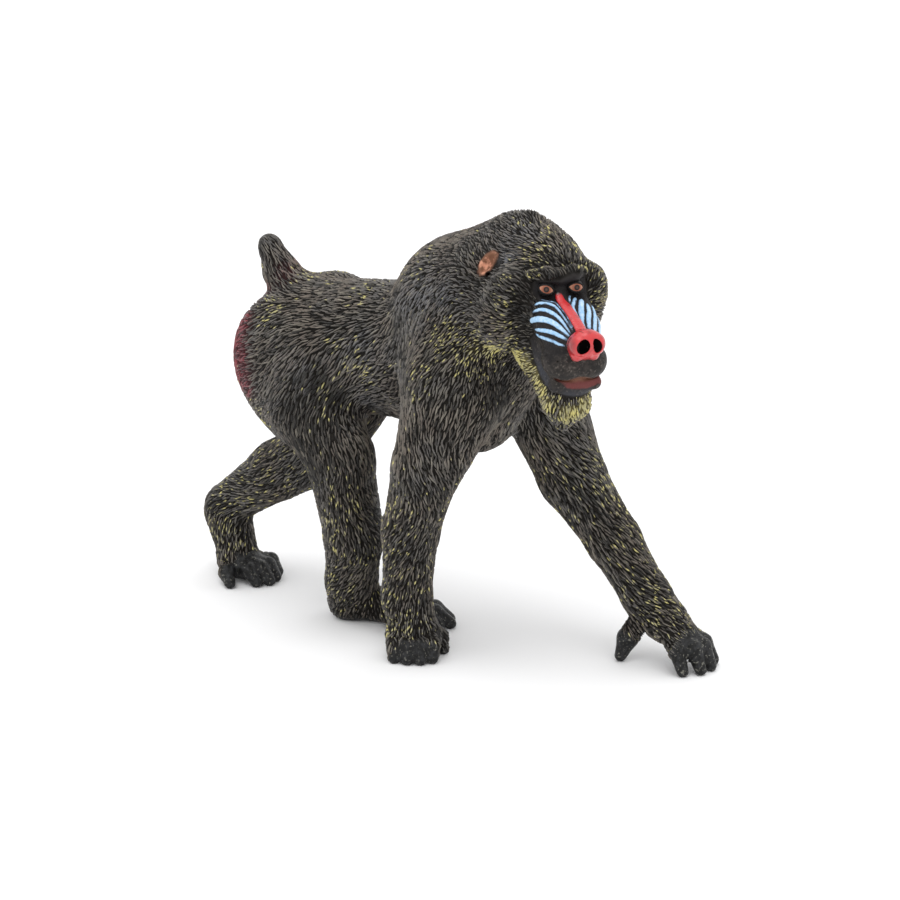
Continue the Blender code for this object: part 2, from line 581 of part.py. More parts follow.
def main():
    for thing in list(bpy.data.objects):
        bpy.data.objects.remove(thing)
    parts = new_collection(COLLECTION_NAME)
    cutters = new_collection("cutters")
    skull = Axes(NASION, MUZZLE_LINE, HEAD_UP)

    clay = Clay()
    trunk(clay)
    right_leg(clay)
    left_leg(clay)
    right_arm(clay)
    left_arm(clay)
    head(clay, skull)
    carved_locks(clay, skull)
    vertices, faces = clay.surface()
    vertices = (vertices - (*BOX_CENTRE, 0)) * MM
    whole = mesh_object("body", vertices, faces, parts)
    even = whole.modifiers.new("even grid", "REMESH")
    even.mode = "VOXEL"
    even.voxel_size = FINE_STEP * MM
    applied(whole)
    thin = whole.modifiers.new("fewer faces", "DECIMATE")
    thin.ratio = TRIANGLES / (2 * len(whole.data.polygons))
    applied(whole)

    floor_cut(cutters)
    disc_cut(between(TAIL_ROOT, TAIL_BEND, 0.78), (-0.35, 0, 0.94), 4.6, cutters)
    disc_cut((8.0, -3.0, 57.5), (0.85, -0.38, 0.36), 15, cutters)
    disc_cut((0.5, -1.0, 55.5), (0.68, -0.1, 0.73), 17, cutters)
    disc_cut(between(FOREARM_RIGHT, WRIST_RIGHT, 0.92), point(*WRIST_RIGHT) - FOREARM_RIGHT, 6, cutters)
    disc_cut(between(FOREARM_LEFT, WRIST_LEFT, 0.85), point(*WRIST_LEFT) - FOREARM_LEFT, 6, cutters)
    disc_cut(between(SHANK_RIGHT, ANKLE_RIGHT, 0.75), point(*ANKLE_RIGHT) - SHANK_RIGHT, 6.5, cutters)
    disc_cut((-53.6, 4.0, 8.6), (0.15, 0, -1), 6, cutters)
    shell_cut((0.7, -10.4, 38.5), (9.6, 7.7, 12.8), (0.08, 0, 1), cutters)
    shell_cut((6.4, 10.8, 37.0), (9.8, 7.8, 13.0), (-0.35, 0, 1), cutters)
    shell_cut((-23.6, -8.6, 34.0), (10.6, 7.8, 11.2), (-0.5, 0, 1), cutters)
    shell_cut((-32.4, 8.2, 30.5), (10.2, 8.2, 11.5), (0.2, 0.2, 1), cutters)
    for side in (-1, 1):
        normal = skull.turn(*np.multiply(EAR_OUTWARD, (1, side, 1)))
        shell_cut(skull.at(*(EAR_LEFT if side > 0 else EAR_RIGHT)), (3.3, 3.6, 2.0), normal, cutters, 12)
        forward, left, up = EYE_CENTRE
        socket_cut(skull.at(forward, left * side, up), EYE_RADIUS + GAP, cutters)

    parted = whole.modifiers.new("parted", "BOOLEAN")
    parted.operation = "DIFFERENCE"
    parted.operand_type = "COLLECTION"
    parted.collection = cutters
    bpy.context.view_layer.update()
    applied(whole)

    coat = finish("dark moulded coat", (0.035, 0.034, 0.028), 0.6)
    skin = finish("dark skin", (0.018, 0.02, 0.024), 0.5)
    ear_skin = finish("ear skin", (0.35, 0.14, 0.08), 0.55)
    iris = finish("eye", (0.45, 0.2, 0.08), 0.25)
    anchors = {
        "head": (skull.at(-1, 0, -5), coat),
        "neck": (point(3, -1, 58), coat),
        "torso": (point(-17, 0, 44), coat),
        "tail": (between(TAIL_BEND, TAIL_TIP), coat),
        "ear_right": (skull.at(*EAR_RIGHT), ear_skin),
        "ear_left": (skull.at(*EAR_LEFT), ear_skin),
        "upper_arm_right": (between(SHOULDER_RIGHT, ELBOW_RIGHT), coat),
        "forearm_right": (FOREARM_RIGHT, coat),
        "hand_right": (point(*PALM_RIGHT) + (1, -1, 3), skin),
        "upper_arm_left": (between(SHOULDER_LEFT, ELBOW_LEFT), coat),
        "forearm_left": (FOREARM_LEFT, coat),
        "hand_left": (PALM_LEFT, skin),
        "thigh_right": (between(HIP_RIGHT, KNEE_RIGHT), coat),
        "shank_right": (SHANK_RIGHT, coat),
        "foot_right": (point(*HEEL_RIGHT) + (7, 2, 3), skin),
        "thigh_left": (between(HIP_LEFT, KNEE_LEFT), coat),
        "shank_left": (SHANK_LEFT, coat),
        "foot_left": (point(*BALL_LEFT) + (0, 0, 5), skin),
    }
    pieces = islands(whole)
    for name, (place, material) in anchors.items():
        target = placed(place)
        piece = min(pieces, key=lambda candidate: (middle(candidate) - target).length)
        pieces.remove(piece)
        piece.name = name
        piece.data.name = name
        piece.data.materials.clear()
        piece.data.materials.append(material)
    for scrap in pieces:
        print("dropped", len(scrap.data.polygons), tuple(round(c / MM, 1) for c in middle(scrap)))
        bpy.data.objects.remove(scrap)

    for name, side in (("eye_right", -1), ("eye_left", 1)):
        forward, left, up = EYE_CENTRE
        place = placed(skull.at(forward, left * side, up))
        bpy.ops.mesh.primitive_uv_sphere_add(segments=14, ring_count=8, radius=EYE_RADIUS * MM, location=place)
        eye = bpy.context.active_object
        eye.name = name
        eye.data.materials.append(iris)
        eye.data.shade_smooth()
        for collection in list(eye.users_collection):
            collection.objects.unlink(eye)
        parts.objects.link(eye)


main()
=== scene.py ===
# A painted toy figurine of a mandrill, modelled like clay and dressed with carved strokes of fur.
# Lengths are in millimetres until a mesh is made: forward is +X, the animal's left is +Y, up is +Z.
import itertools
import math

import bpy
import numpy as np
from mathutils import Matrix


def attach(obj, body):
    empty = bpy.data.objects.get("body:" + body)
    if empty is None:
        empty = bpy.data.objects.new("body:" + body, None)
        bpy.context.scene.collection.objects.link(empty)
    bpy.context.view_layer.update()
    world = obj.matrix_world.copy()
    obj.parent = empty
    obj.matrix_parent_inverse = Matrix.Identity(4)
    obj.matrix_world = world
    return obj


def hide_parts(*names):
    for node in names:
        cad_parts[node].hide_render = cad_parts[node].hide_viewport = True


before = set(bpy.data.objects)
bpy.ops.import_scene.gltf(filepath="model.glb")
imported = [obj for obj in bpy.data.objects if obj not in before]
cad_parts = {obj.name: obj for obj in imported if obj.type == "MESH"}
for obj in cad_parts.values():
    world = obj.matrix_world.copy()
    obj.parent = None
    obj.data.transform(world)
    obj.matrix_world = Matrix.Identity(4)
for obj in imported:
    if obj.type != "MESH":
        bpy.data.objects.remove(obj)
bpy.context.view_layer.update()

millimetre = 0.001
boxCentre = (-11.139, 0.286)  # middle of the model's box on the floor

scene = bpy.context.scene


# Vectors, axes and the rounded shapes that the clay is pressed from

def point(*place):
    return np.array(place, float)


def unit(vector):
    vector = np.asarray(vector, float)
    return vector / np.maximum(np.linalg.norm(vector, axis=-1, keepdims=True), 1e-9)


def smooth(value):  # 0 below -0.5 and 1 above 0.5
    value = np.clip(value + 0.5, 0, 1)
    return value * value * (3 - 2 * value)


sideNames = {-1: "right", 1: "left"}


def mirrored(place, side):  # a place given for the left side, on the side wanted
    return np.multiply(place, (1, side, 1))


class Axes:  # forward, left and up directions at an origin
    def __init__(self, origin, forward, up=(0, 0, 1)):
        self.origin = np.asarray(origin, float)
        self.forward = unit(forward)
        self.left = unit(np.cross(up, self.forward))
        self.up = np.cross(self.forward, self.left)

    def at(self, forward, left=0.0, up=0.0):
        return self.origin + self.turn(forward, left, up)

    def turn(self, forward, left=0.0, up=0.0):
        return forward * self.forward + left * self.left + up * self.up

    def local(self, places):
        return (places - self.origin) @ np.stack([self.forward, self.left, self.up], axis=1)


def bar(start, end, startRadius, endRadius, blend=1.0, flat=None, cut=False):
    # A round bar that tapers from start to end; flat = (axis, ratio) widens it along the axis.
    start, end = np.asarray(start, float), np.asarray(end, float)
    run = end - start
    runSquared = run @ run
    wideAxis, ratio = (unit(flat[0]), flat[1]) if flat else (None, 1.0)
    reach = max(startRadius, endRadius) * max(1.0, ratio)

    def distance(x, y, z):
        px, py, pz = x - start[0], y - start[1], z - start[2]
        along = np.clip((px * run[0] + py * run[1] + pz * run[2]) / runSquared, 0, 1)
        px, py, pz = px - along * run[0], py - along * run[1], pz - along * run[2]
        squared = px * px + py * py + pz * pz
        if flat:
            across = px * wideAxis[0] + py * wideAxis[1] + pz * wideAxis[2]
            squared = squared + across * across * (1 / ratio ** 2 - 1)
        return np.sqrt(squared) - startRadius - (endRadius - startRadius) * along

    return distance, np.minimum(start, end) - reach, np.maximum(start, end) + reach, blend, cut


def egg(centre, radii, forward=(1, 0, 0), up=(0, 0, 1), blend=1.0, cut=False):
    # An ellipsoid whose radii run along forward, left and up.
    axes = Axes(centre, forward, up)
    rows = np.array([axes.forward, axes.left, axes.up])
    reach = np.abs(rows.T * np.asarray(radii, float)).sum(axis=1)

    def distance(x, y, z):
        px, py, pz = x - axes.origin[0], y - axes.origin[1], z - axes.origin[2]
        near = slope = 0.0
        for row, radius in zip(rows, radii):
            share = (px * row[0] + py * row[1] + pz * row[2]) / radius
            near = near + share * share
            slope = slope + share * share / (radius * radius)
        near = np.sqrt(near)
        return near * (near - 1) / np.sqrt(np.maximum(slope, 1e-12))

    return distance, axes.origin - reach, axes.origin + reach, blend, cut


def softMin(a, b, blend):
    overlap = np.maximum(blend - np.abs(a - b), 0)
    return np.minimum(a, b) - overlap * overlap / (4 * blend)


def gridLine(low, high, step, fineLow=None, fineHigh=None, fineStep=None):
    # Grid lines, standing closer together between fineLow and fineHigh.
    if fineStep is None:
        return np.arange(low, high + step, step, dtype=np.float32)
    before = np.arange(low, fineLow, step)
    fine = np.arange(fineLow, fineHigh, fineStep)
    after = np.arange(fineHigh, high + step, step)
    return np.concatenate([before, fine, after]).astype(np.float32)


farAway = 9.0  # a distance past every shape


class Clay:  # a block of distances to the surface, negative inside, that shapes are pressed into
    def __init__(self, lines):
        self.lines = lines
        self.field = np.full([len(line) for line in lines], farAway, np.float32)

    def window(self, low, high, blend):  # the cells between two corners, with room for the blend
        room = 2.0 + blend
        ends = zip(self.lines, low - room, high + room)
        return tuple(slice(*np.searchsorted(line, [start, end])) for line, start, end in ends)

    def coordinates(self, window):
        x, y, z = (line[span] for line, span in zip(self.lines, window))
        return x[:, None, None], y[None, :, None], z[None, None, :]

    def press(self, shapes, blend=None):
        # The shapes join one another by their own blends, and what is there by the given one.
        low = np.min([shape[1] for shape in shapes], axis=0)
        high = np.max([shape[2] for shape in shapes], axis=0)
        outer = self.window(low, high, max([shape[3] for shape in shapes] + [blend or 0]))
        lump = np.full_like(self.field[outer], farAway) if blend else self.field[outer].copy()
        for distance, start, end, ownBlend, cut in shapes:
            window = self.window(start, end, ownBlend)
            inner = tuple(slice(w.start - o.start, w.stop - o.start) for w, o in zip(window, outer))
            there = distance(*self.coordinates(window)).astype(np.float32)
            if cut:
                lump[inner] = -softMin(-lump[inner], there, ownBlend)
            else:
                lump[inner] = softMin(lump[inner], there, ownBlend)
        self.field[outer] = softMin(self.field[outer], lump, blend) if blend else lump

    def cutFloor(self):
        self.field = np.maximum(self.field, -self.lines[2][None, None, :])

    def sample(self, places):  # the distance at each place, read between the grid's points
        spans = []
        for line, value in zip(self.lines, places.T):
            low = np.clip(np.searchsorted(line, value) - 1, 0, len(line) - 2)
            spans.append((low, np.clip((value - line[low]) / (line[low + 1] - line[low]), 0, 1)))
        total = 0
        for corner in itertools.product((0, 1), repeat=3):
            share = 1
            for (low, part), side in zip(spans, corner):
                share = share * (part if side else 1 - part)
            cell = tuple(low + side for (low, part), side in zip(spans, corner))
            total = total + share * self.field[cell]
        return total

    def outward(self, places, step=0.3):
        steps = np.eye(3) * step
        return unit(np.stack([self.sample(places + s) - self.sample(places - s) for s in steps], axis=1))

    def settle(self, places, height, rounds=4):  # moves each place to that height over the surface
        for _ in range(rounds):
            places = places - self.outward(places) * (self.sample(places) - height)[:, None]
        return places

    def surface(self):
        # One point in each cell that the surface crosses, and one face round each crossed grid edge.
        inside = self.field < 0
        cells = [count - 1 for count in self.field.shape]
        crossings = np.zeros(cells, np.int8)
        total = np.zeros([3] + cells, np.float32)
        for axis in range(3):
            sides = [other for other in range(3) if other != axis]
            for corner in itertools.product((0, 1), repeat=2):
                first = [0, 0, 0]
                first[sides[0]], first[sides[1]] = corner
                second = list(first)
                second[axis] = 1
                one, two = (tuple(slice(o, o + n) for o, n in zip(at, cells)) for at in (first, second))
                crossed = inside[one] != inside[two]
                step = self.field[one] - self.field[two]
                total[axis] += np.where(crossed, self.field[one] / np.where(crossed, step, 1), 0)
                for side, offset in zip(sides, corner):
                    total[side] += offset * crossed
                crossings += crossed
        used = crossings > 0
        index = np.full(cells, -1)
        index[used] = np.arange(used.sum())
        where = np.argwhere(used)
        share = total[:, used].T / crossings[used][:, None]
        columns = []
        for axis, line in enumerate(self.lines):
            start = line[where[:, axis]]
            columns.append(start + share[:, axis] * (line[where[:, axis] + 1] - start))
        faces = []
        steps = np.eye(3, dtype=int)
        for axis in range(3):
            sides = [other for other in range(3) if other != axis]
            one, two = (tuple(span if a == axis else slice(1, -1) for a in range(3))
                        for span in (slice(0, -1), slice(1, None)))
            crossed = inside[one] != inside[two]
            at = np.argwhere(crossed) + steps[sides[0]] + steps[sides[1]]
            roundEdge = [0 * steps[0], steps[sides[0]], steps[sides[0]] + steps[sides[1]], steps[sides[1]]]
            quads = np.stack([index[tuple((at - back).T)] for back in roundEdge], axis=1)
            turned = inside[one][crossed] == (axis == 1)
            quads[turned] = quads[turned][:, ::-1]
            faces.append(quads)
        return np.stack(columns, axis=1).astype(float), np.concatenate(faces)


def chain(joints, radii, blend=1.3):
    # Bars from joint to joint, each tapering from one joint's radius to the next one's.
    return [bar(a, b, ra, rb, blend) for a, b, ra, rb in zip(joints, joints[1:], radii, radii[1:])]


# The body: named places of the trunk, tail and limbs

body = {
    "pelvis": (-31.5, 0, 42.5), "loins": (-21.0, 0, 44.0), "ribs": (-6.0, 0, 45.5), "chest": (-1.5, 0, 46.5),
    "withers": (-5.0, 0, 52.3), "nape": (9.0, -2.0, 59.2), "throat": (9.0, -2.3, 53.5),
    "rump": (-34.6, 4.5, 40.4),
    "tailRoot": (-34.4, 0, 49.2), "tailBend": (-38.2, 0, 52.8), "tailTip": (-40.5, 0, 56.6),
    "shoulderRight": (1.5, -8.6, 47.0), "elbowRight": (-1.2, -10.8, 31.0), "forearmRight": (-5.2, -9.6, 20.0),
    "wristRight": (-7.1, -8.2, 8.5), "palmRight": (-6.0, -7.6, 0),
    "shoulderLeft": (3.6, 8.6, 46.0), "elbowLeft": (9.5, 11.4, 26.1), "forearmLeft": (17.0, 12.0, 17.3),
    "wristLeft": (23.2, 12.1, 9.6), "palmLeft": (26.6, 12.0, 6.7), "knucklesLeft": (29.8, 12.0, 4.8),
    "hipRight": (-28.8, -5.8, 38.5), "kneeRight": (-19.0, -8.3, 28.1), "shankRight": (-20.0, -4.9, 15.0),
    "ankleRight": (-22.4, -2.8, 6.6), "heelRight": (-23.8, -1.8, 0),
    "hipLeft": (-30.5, 5.8, 37.5), "kneeLeft": (-34.0, 6.3, 23.6), "shankLeft": (-43.7, 5.2, 18.3),
    "ankleLeft": (-53.5, 4.2, 11.0), "ballLeft": (-50.6, 2.6, 0),
}
body = {name: point(*place) for name, place in body.items()}
headings = {"handRight": (0.62, -0.79, 0), "footRight": (1, 0.36, 0), "footLeft": (1, -0.12, 0)}
digitTip = 0.95  # the radius that fingers and toes end with


def digit(clay, places, rootRadius):
    clay.press(chain(places, (rootRadius, 0.92 * rootRadius, digitTip), 0.5), 0.6)


def pressTrunk(clay):
    clay.press([
        bar(body["pelvis"], body["loins"], 10.3, 9.2, 4, flat=((0, 1, 0), 0.84)),
        bar(body["loins"], body["ribs"], 9.3, 12.2, 4, flat=((0, 1, 0), 0.82)),
        egg(body["chest"], (9.5, 9.6, 15.2), (1, 0, 0.15), blend=5),
        egg(body["withers"], (9.0, 6.4, 7.2), (1, 0, 0.5), blend=4),
        bar((-2, -0.3, 55.6), body["nape"], 8.4, 8.0, 4),
        bar((-6, 0, 56.7), (8, -1.6, 64.9), 4.0, 4.6, 4),
        bar((-3, -3.6, 54.5), (5.5, -5.6, 58.8), 6.0, 5.4, 4),
        bar((-3, 3.4, 54.5), (8.5, 3.6, 58.5), 6.0, 5.2, 4),
        bar((4.5, -0.5, 46.5), body["throat"], 7.0, 6.8, 4, flat=((0, 1, 0), 0.9)),
        egg((-30.4, 4.8, 49.6), (4.8, 3.4, 3.4), blend=3),
    ], blend=0.5)
    for side in (-1, 1):
        clay.press([egg(mirrored(body["rump"], side), (8.4, 5.6, 9.8), blend=3)])
    clay.press(chain((body["tailRoot"], body["tailBend"], body["tailTip"]), (3.7, 2.5, 1.85), 1.6), 2.2)


def pressRightArm(clay):
    elbow, forearm, wrist = body["elbowRight"], body["forearmRight"], body["wristRight"]
    clay.press([
        egg(body["shoulderRight"], (7.4, 4.8, 10.3), (1, 0, -0.2), blend=3),
        bar((1.6, -9.0, 43), elbow, 6.6, 5.0, 3),
        bar((4.6, -7.6, 41), (1.6, -9.6, 34), 4.4, 3.6, 3),
        *chain((elbow, forearm, wrist), (5.0, 4.15, 3.6)),
    ], blend=2.5)
    hand = Axes(body["palmRight"], headings["handRight"])
    clay.press([
        bar(wrist, hand.at(0.2, 0, 3.5), 3.6, 3.4, 1.5, flat=(hand.forward, 0.92)),
        egg(hand.at(1.0, -0.2, 2.8), (3.5, 4.3, 2.9), hand.forward, blend=1.5),
    ], blend=1.5)
    for side, reach in ((-3.1, 5.2), (-1.15, 6.0), (0.85, 6.1), (2.7, 5.4)):
        places = [hand.at(2.0, 0.92 * side, 2.6), hand.at(reach - 1.4, side, 2.6), hand.at(reach, side, 0.8)]
        digit(clay, places, 1.32)
    digit(clay, [hand.at(-1.6, 2.9, 2.6), hand.at(-0.3, 3.9, 2.2), hand.at(1.2, 4.3, 0.8)], 1.3)


def pressLeftArm(clay):
    elbow, forearm, wrist, palm = (body[name + "Left"] for name in ("elbow", "forearm", "wrist", "palm"))
    clay.press([
        egg(body["shoulderLeft"], (6.8, 4.6, 9.6), (1, 0, -0.4), blend=3),
        bar((3.4, 9.0, 42), elbow, 6.9, 5.0, 3),
        *chain((elbow, forearm, wrist), (4.9, 3.95, 3.5)),
    ], blend=2.5)
    clay.press([
        bar(wrist, palm, 3.5, 3.0, 1.5),
        bar(palm, body["knucklesLeft"], 2.8, 2.3, 1.5, flat=((0, 1, 0), 1.3)),
    ], blend=1.5)
    knuckles = body["knucklesLeft"]
    for side, reach, radius in ((-2.2, 2.7, 1.3), (-0.7, 4.4, 1.38), (0.9, 4.6, 1.32), (2.5, 3.4, 1.22)):
        root = knuckles + (-0.2 * abs(side), side, -0.2)
        joint = knuckles + (reach - 1.4, 1.35 * side - 0.3, -1.0 - abs(side) * 0.1)
        tip = point(knuckles[0] + reach, knuckles[1] + 1.5 * side - 0.3, 0.8)
        digit(clay, [root, joint, tip], radius)
    digit(clay, [point(23.6, 10.6, 7.0), point(21.9, 9.0, 3.6), point(21.2, 8.2, 0.85)], 1.75)


def pressToes(clay, heel, heading, outward, toes, hallux):
    # Toes run from the inner one out, each as (side, root, joint, tip) along the foot.
    sole = Axes(heel, heading)
    for side, root, joint, tip in toes:
        across = outward * side
        places = [sole.at(root, 0.85 * across, 2.1), sole.at(joint, across, 2.35), sole.at(tip, across, 0.8)]
        digit(clay, places, 1.3)
    digit(clay, [sole.at(along, -outward * side, height) for along, side, height in hallux], 1.35)


def pressRightLeg(clay):
    knee, shank, ankle, heel = (body[name + "Right"] for name in ("knee", "shank", "ankle", "heel"))
    clay.press([
        egg(body["hipRight"], (9.2, 5.6, 11.3), (1, -0.1, -0.55), blend=3),
        bar((-26.5, -6.4, 35.6), knee + (-1.6, 0.4, 0.6), 7.0, 5.2, 3),
        egg(knee, (4.2, 4.0, 5.2), (1, -0.3, -0.4), blend=2),
        *chain((knee + (-1.2, 0.8, -2), shank, ankle), (5.0, 4.5, 3.9)),
    ], blend=2.5)
    heading = headings["footRight"]
    sole = Axes(heel, heading)
    clay.press([
        bar(ankle, sole.at(0.2, 0, 2.9), 3.7, 3.05, 1.5),
        bar(sole.at(0, 0, 2.75), sole.at(9.8, 0.3, 2.2), 2.9, 2.5, 1.5, flat=(sole.left, 1.15)),
    ], blend=1.5)
    toes = ((-1.8, 9.0, 13.6, 16.0), (0.2, 9.5, 14.2, 16.8), (2.1, 9.0, 13.2, 15.6), (3.9, 7.6, 11.2, 13.2))
    pressToes(clay, heel, heading, -1, toes, ((5.6, 1.6, 2.0), (8.8, 3.8, 1.9), (10.8, 4.4, 0.8)))


def pressLeftLeg(clay):
    knee, shank, ankle = (body[name + "Left"] for name in ("knee", "shank", "ankle"))
    clay.press([
        egg(body["hipLeft"], (9.0, 5.6, 11.3), (1, 0.1, -0.2), blend=3),
        bar((-31.5, 6.1, 33), knee + (0.5, 0, 2), 7.4, 5.6, 3),
        *chain((knee + (0, 0, 0.4), shank, ankle), (5.8, 4.6, 3.4)),
    ], blend=2.5)
    heading = headings["footLeft"]
    ball = Axes(body["ballLeft"], heading)
    clay.press([
        bar((-53.4, 4.0, 9.0), ball.at(0.5, 0, 2.9), 3.5, 2.9, 1.5, flat=((0, 1, 0), 1.1)),
        egg((-54.8, 4.2, 10.2), (2.4, 2.7, 3.0), blend=1.5),
        bar(ball.at(0, 0, 2.6), ball.at(3.0, 0, 2.0), 2.6, 2.1, 1.5, flat=((0, 1, 0), 1.25)),
    ], blend=1.5)
    toes = ((-2.0, 2.0, 4.8, 6.8), (0.0, 2.2, 5.6, 7.7), (2.0, 2.0, 5.2, 7.0), (3.9, 1.4, 3.8, 5.4))
    pressToes(clay, ball.origin, heading, 1, toes, ((0.2, 1.6, 2.4), (2.4, 4.4, 2.0), (4.2, 5.4, 0.85)))


# The head: its frame starts between the eyes and runs down the muzzle

skull = Axes((20.2, -7.0, 61.4), (0.738, -0.439, -0.509), (0.0, 0.03, 1.0))
earPlaces = {-1: (-8.2, -7.3, -3.2), 1: (-8.4, 6.9, -4.3)}  # the hidden left ear is lower
headPlaces = {  # on the head's left side
    "eye": (0.35, 2.25, 0.55),
    "earOutward": (0.35, 0.75, 0.55),
    "earUp": (-0.38, -0.64, 0.667),
    "nostril": (12.75, 1.0, 1.15),
    "nostrilWay": (0.72, 0.5, 0.5),
}


def lump(place, radii, blend, forward=(1, 0, 0), up=(0, 0, 1), cut=False):
    return egg(skull.at(*place), radii, skull.turn(*forward), skull.turn(*up), blend, cut)


def roll(start, end, startRadius, endRadius, blend, flat=None, cut=False):
    flat = (skull.left, flat) if flat else None
    return bar(skull.at(*start), skull.at(*end), startRadius, endRadius, blend, flat, cut)


def groove(start, end, radius, blend):
    return roll(start, end, radius, radius, blend, cut=True)


def headPlace(name, side):
    return mirrored(headPlaces[name], side)


def earAxes(side):
    outward, upward = headPlace("earOutward", side), headPlace("earUp", side)
    return Axes(skull.at(*earPlaces[side]), skull.turn(*outward), skull.turn(*upward))


def pressHead(clay):
    hood = [
        lump((-7.5, 0, -4.4), (7.5, 7.6, 7.3), 3),
        roll((-12.3, 0, -2.6), (-3.2, 0, -1.9), 3.7, 3.3, 3),
        roll((-12.7, 0, -1.0), (-13.7, 0, 1.6), 2.0, 0.6, 1.6),
    ]
    face = [
        lump((0.2, 0, -3.8), (3.0, 5.0, 4.4), 2),
        roll((-1.5, 0, -4.4), (9.2, 0, -4.5), 4.2, 3.6, 1.5),
        roll((0.5, 0, -8.2), (10.2, 0, -8.0), 3.9, 3.3, 1.0),
        roll((2, 0, -9.6), (11.6, 0, -11.2), 4.4, 2.9, 1.8, flat=1.22),
        roll((11.9, 0, -12.4), (12.7, 0, -15.2), 2.4, 0.9, 1.4, flat=1.35),
    ]
    detail = [
        roll((0.0, 0, -0.6), (10.0, 0, -0.1), 0.8, 1.1, 0.8),
        lump((11.5, -0.1, 0.2), (1.85, 2.65, 2.45), 0.6),
        roll((12.1, -3.0, -7.2), (12.1, 3.0, -7.2), 1.1, 1.1, 0.6),
    ]
    for side in (-1, 1):
        hood.append(lump((-3.0, 5.9 * side, -5.0), (3.3, 3.8, 6.0), 2.5))
        hood.append(lump((-5.6, 5.4 * side, -9.6), (6.5, 4.2, 4.6), 3, (1, 0, 0.35)))
        face.append(lump((9.9, 1.8 * side, -4.5), (3.3, 3.1, 2.6), 1.0))
        face.append(roll((-1.7, 3.9 * side, 1.5), (-0.7, 2.0 * side, 2.3), 0.8, 0.95, 1.6))
        face.append(roll((-0.7, 2.0 * side, 2.3), (-0.7, 0, 1.8), 0.95, 0.8, 1.4))
        detail.append(lump((4.0, 2.7 * side, -2.4), (5.2, 2.1, 2.4), 0.8))
        detail.append(roll((1.7, 2.4 * side, -1.5), (9.3, 2.0 * side, -1.3), 1.7, 1.5, 0.8))
    for side in (-1, 1):
        nostril, way = headPlace("nostril", side), headPlace("nostrilWay", side)
        detail.append(lump((1.5, 2.3 * side, 0.75), (1.35, 1.5, 1.1), 0.5, cut=True))
        detail.append(lump(nostril, (1.7, 0.95, 1.15), 0.2, way, cut=True))
        detail.append(groove((7.2, 4.7 * side, -6.3), (12.0, 2.9 * side, -5.8), 0.32, 0.4))
        detail.append(groove((12.0, 2.9 * side, -5.8), (13.2, 0, -5.6), 0.32, 0.4))
        for number in range(4):  # wrinkles of the upper lip
            start = (8.6 + 0.5 * number, (4.75 - 0.2 * number) * side, -3.6 - 0.62 * number)
            detail.append(groove(start, (11.6, 3.4 * side, -3.0 - 0.7 * number), 0.13, 0.3))
    clay.press(hood, 2.5)
    clay.press(face, 1.2)
    clay.press(detail)
    for side in (-1, 1):  # the ears, each with a cup and a hole
        axes = earAxes(side)
        ways = axes.forward, axes.up
        cup = egg(axes.at(1.15, 0.1 * side, 0.7), (0.85, 0.85, 1.5), *ways, 0.3, cut=True)
        hole = egg(axes.at(0.9, -1.05 * side, -0.55), (1.0, 0.3, 0.38), *ways, 0.15, cut=True)
        clay.press([egg(axes.at(0, -0.4 * side, 0.3), (1.0, 1.8, 2.65), *ways, 0.8)], 0.7)
        clay.press([cup, hole])


# Meshes and node materials

def toModel(places):  # millimetres of the body's frame to metres of the CAD model's frame
    return (places - (*boxCentre, 0)) * millimetre


def meshPiece(name, places, faces, material):
    mesh = bpy.data.meshes.new(name)
    mesh.vertices.add(len(places))
    mesh.vertices.foreach_set("co", toModel(places).astype(np.float32).ravel())
    corners = faces.shape[1]
    mesh.loops.add(faces.size)
    mesh.loops.foreach_set("vertex_index", faces.astype(np.int32).ravel())
    mesh.polygons.add(len(faces))
    mesh.polygons.foreach_set("loop_start", np.arange(0, faces.size, corners, dtype=np.int32))
    mesh.update(calc_edges=True)
    mesh.validate()
    mesh.shade_smooth()
    mesh.materials.append(material)
    piece = bpy.data.objects.new(name, mesh)
    scene.collection.objects.link(piece)
    return piece


def vertexPlaces(piece):
    places = np.empty(len(piece.data.vertices) * 3, np.float32)
    piece.data.vertices.foreach_get("co", places)
    return places.reshape(-1, 3).astype(float) / millimetre + (*boxCentre, 0)


def paintPoints(piece, name, *masks):  # one colour attribute that carries up to three masks
    values = np.zeros((len(masks[0]), 4), np.float32)
    values[:, :len(masks)] = np.stack(masks, axis=1)
    values[:, 3] = 1
    layer = piece.data.attributes.new(name, "FLOAT_COLOR", "POINT")
    layer.data.foreach_set("color", values.ravel())


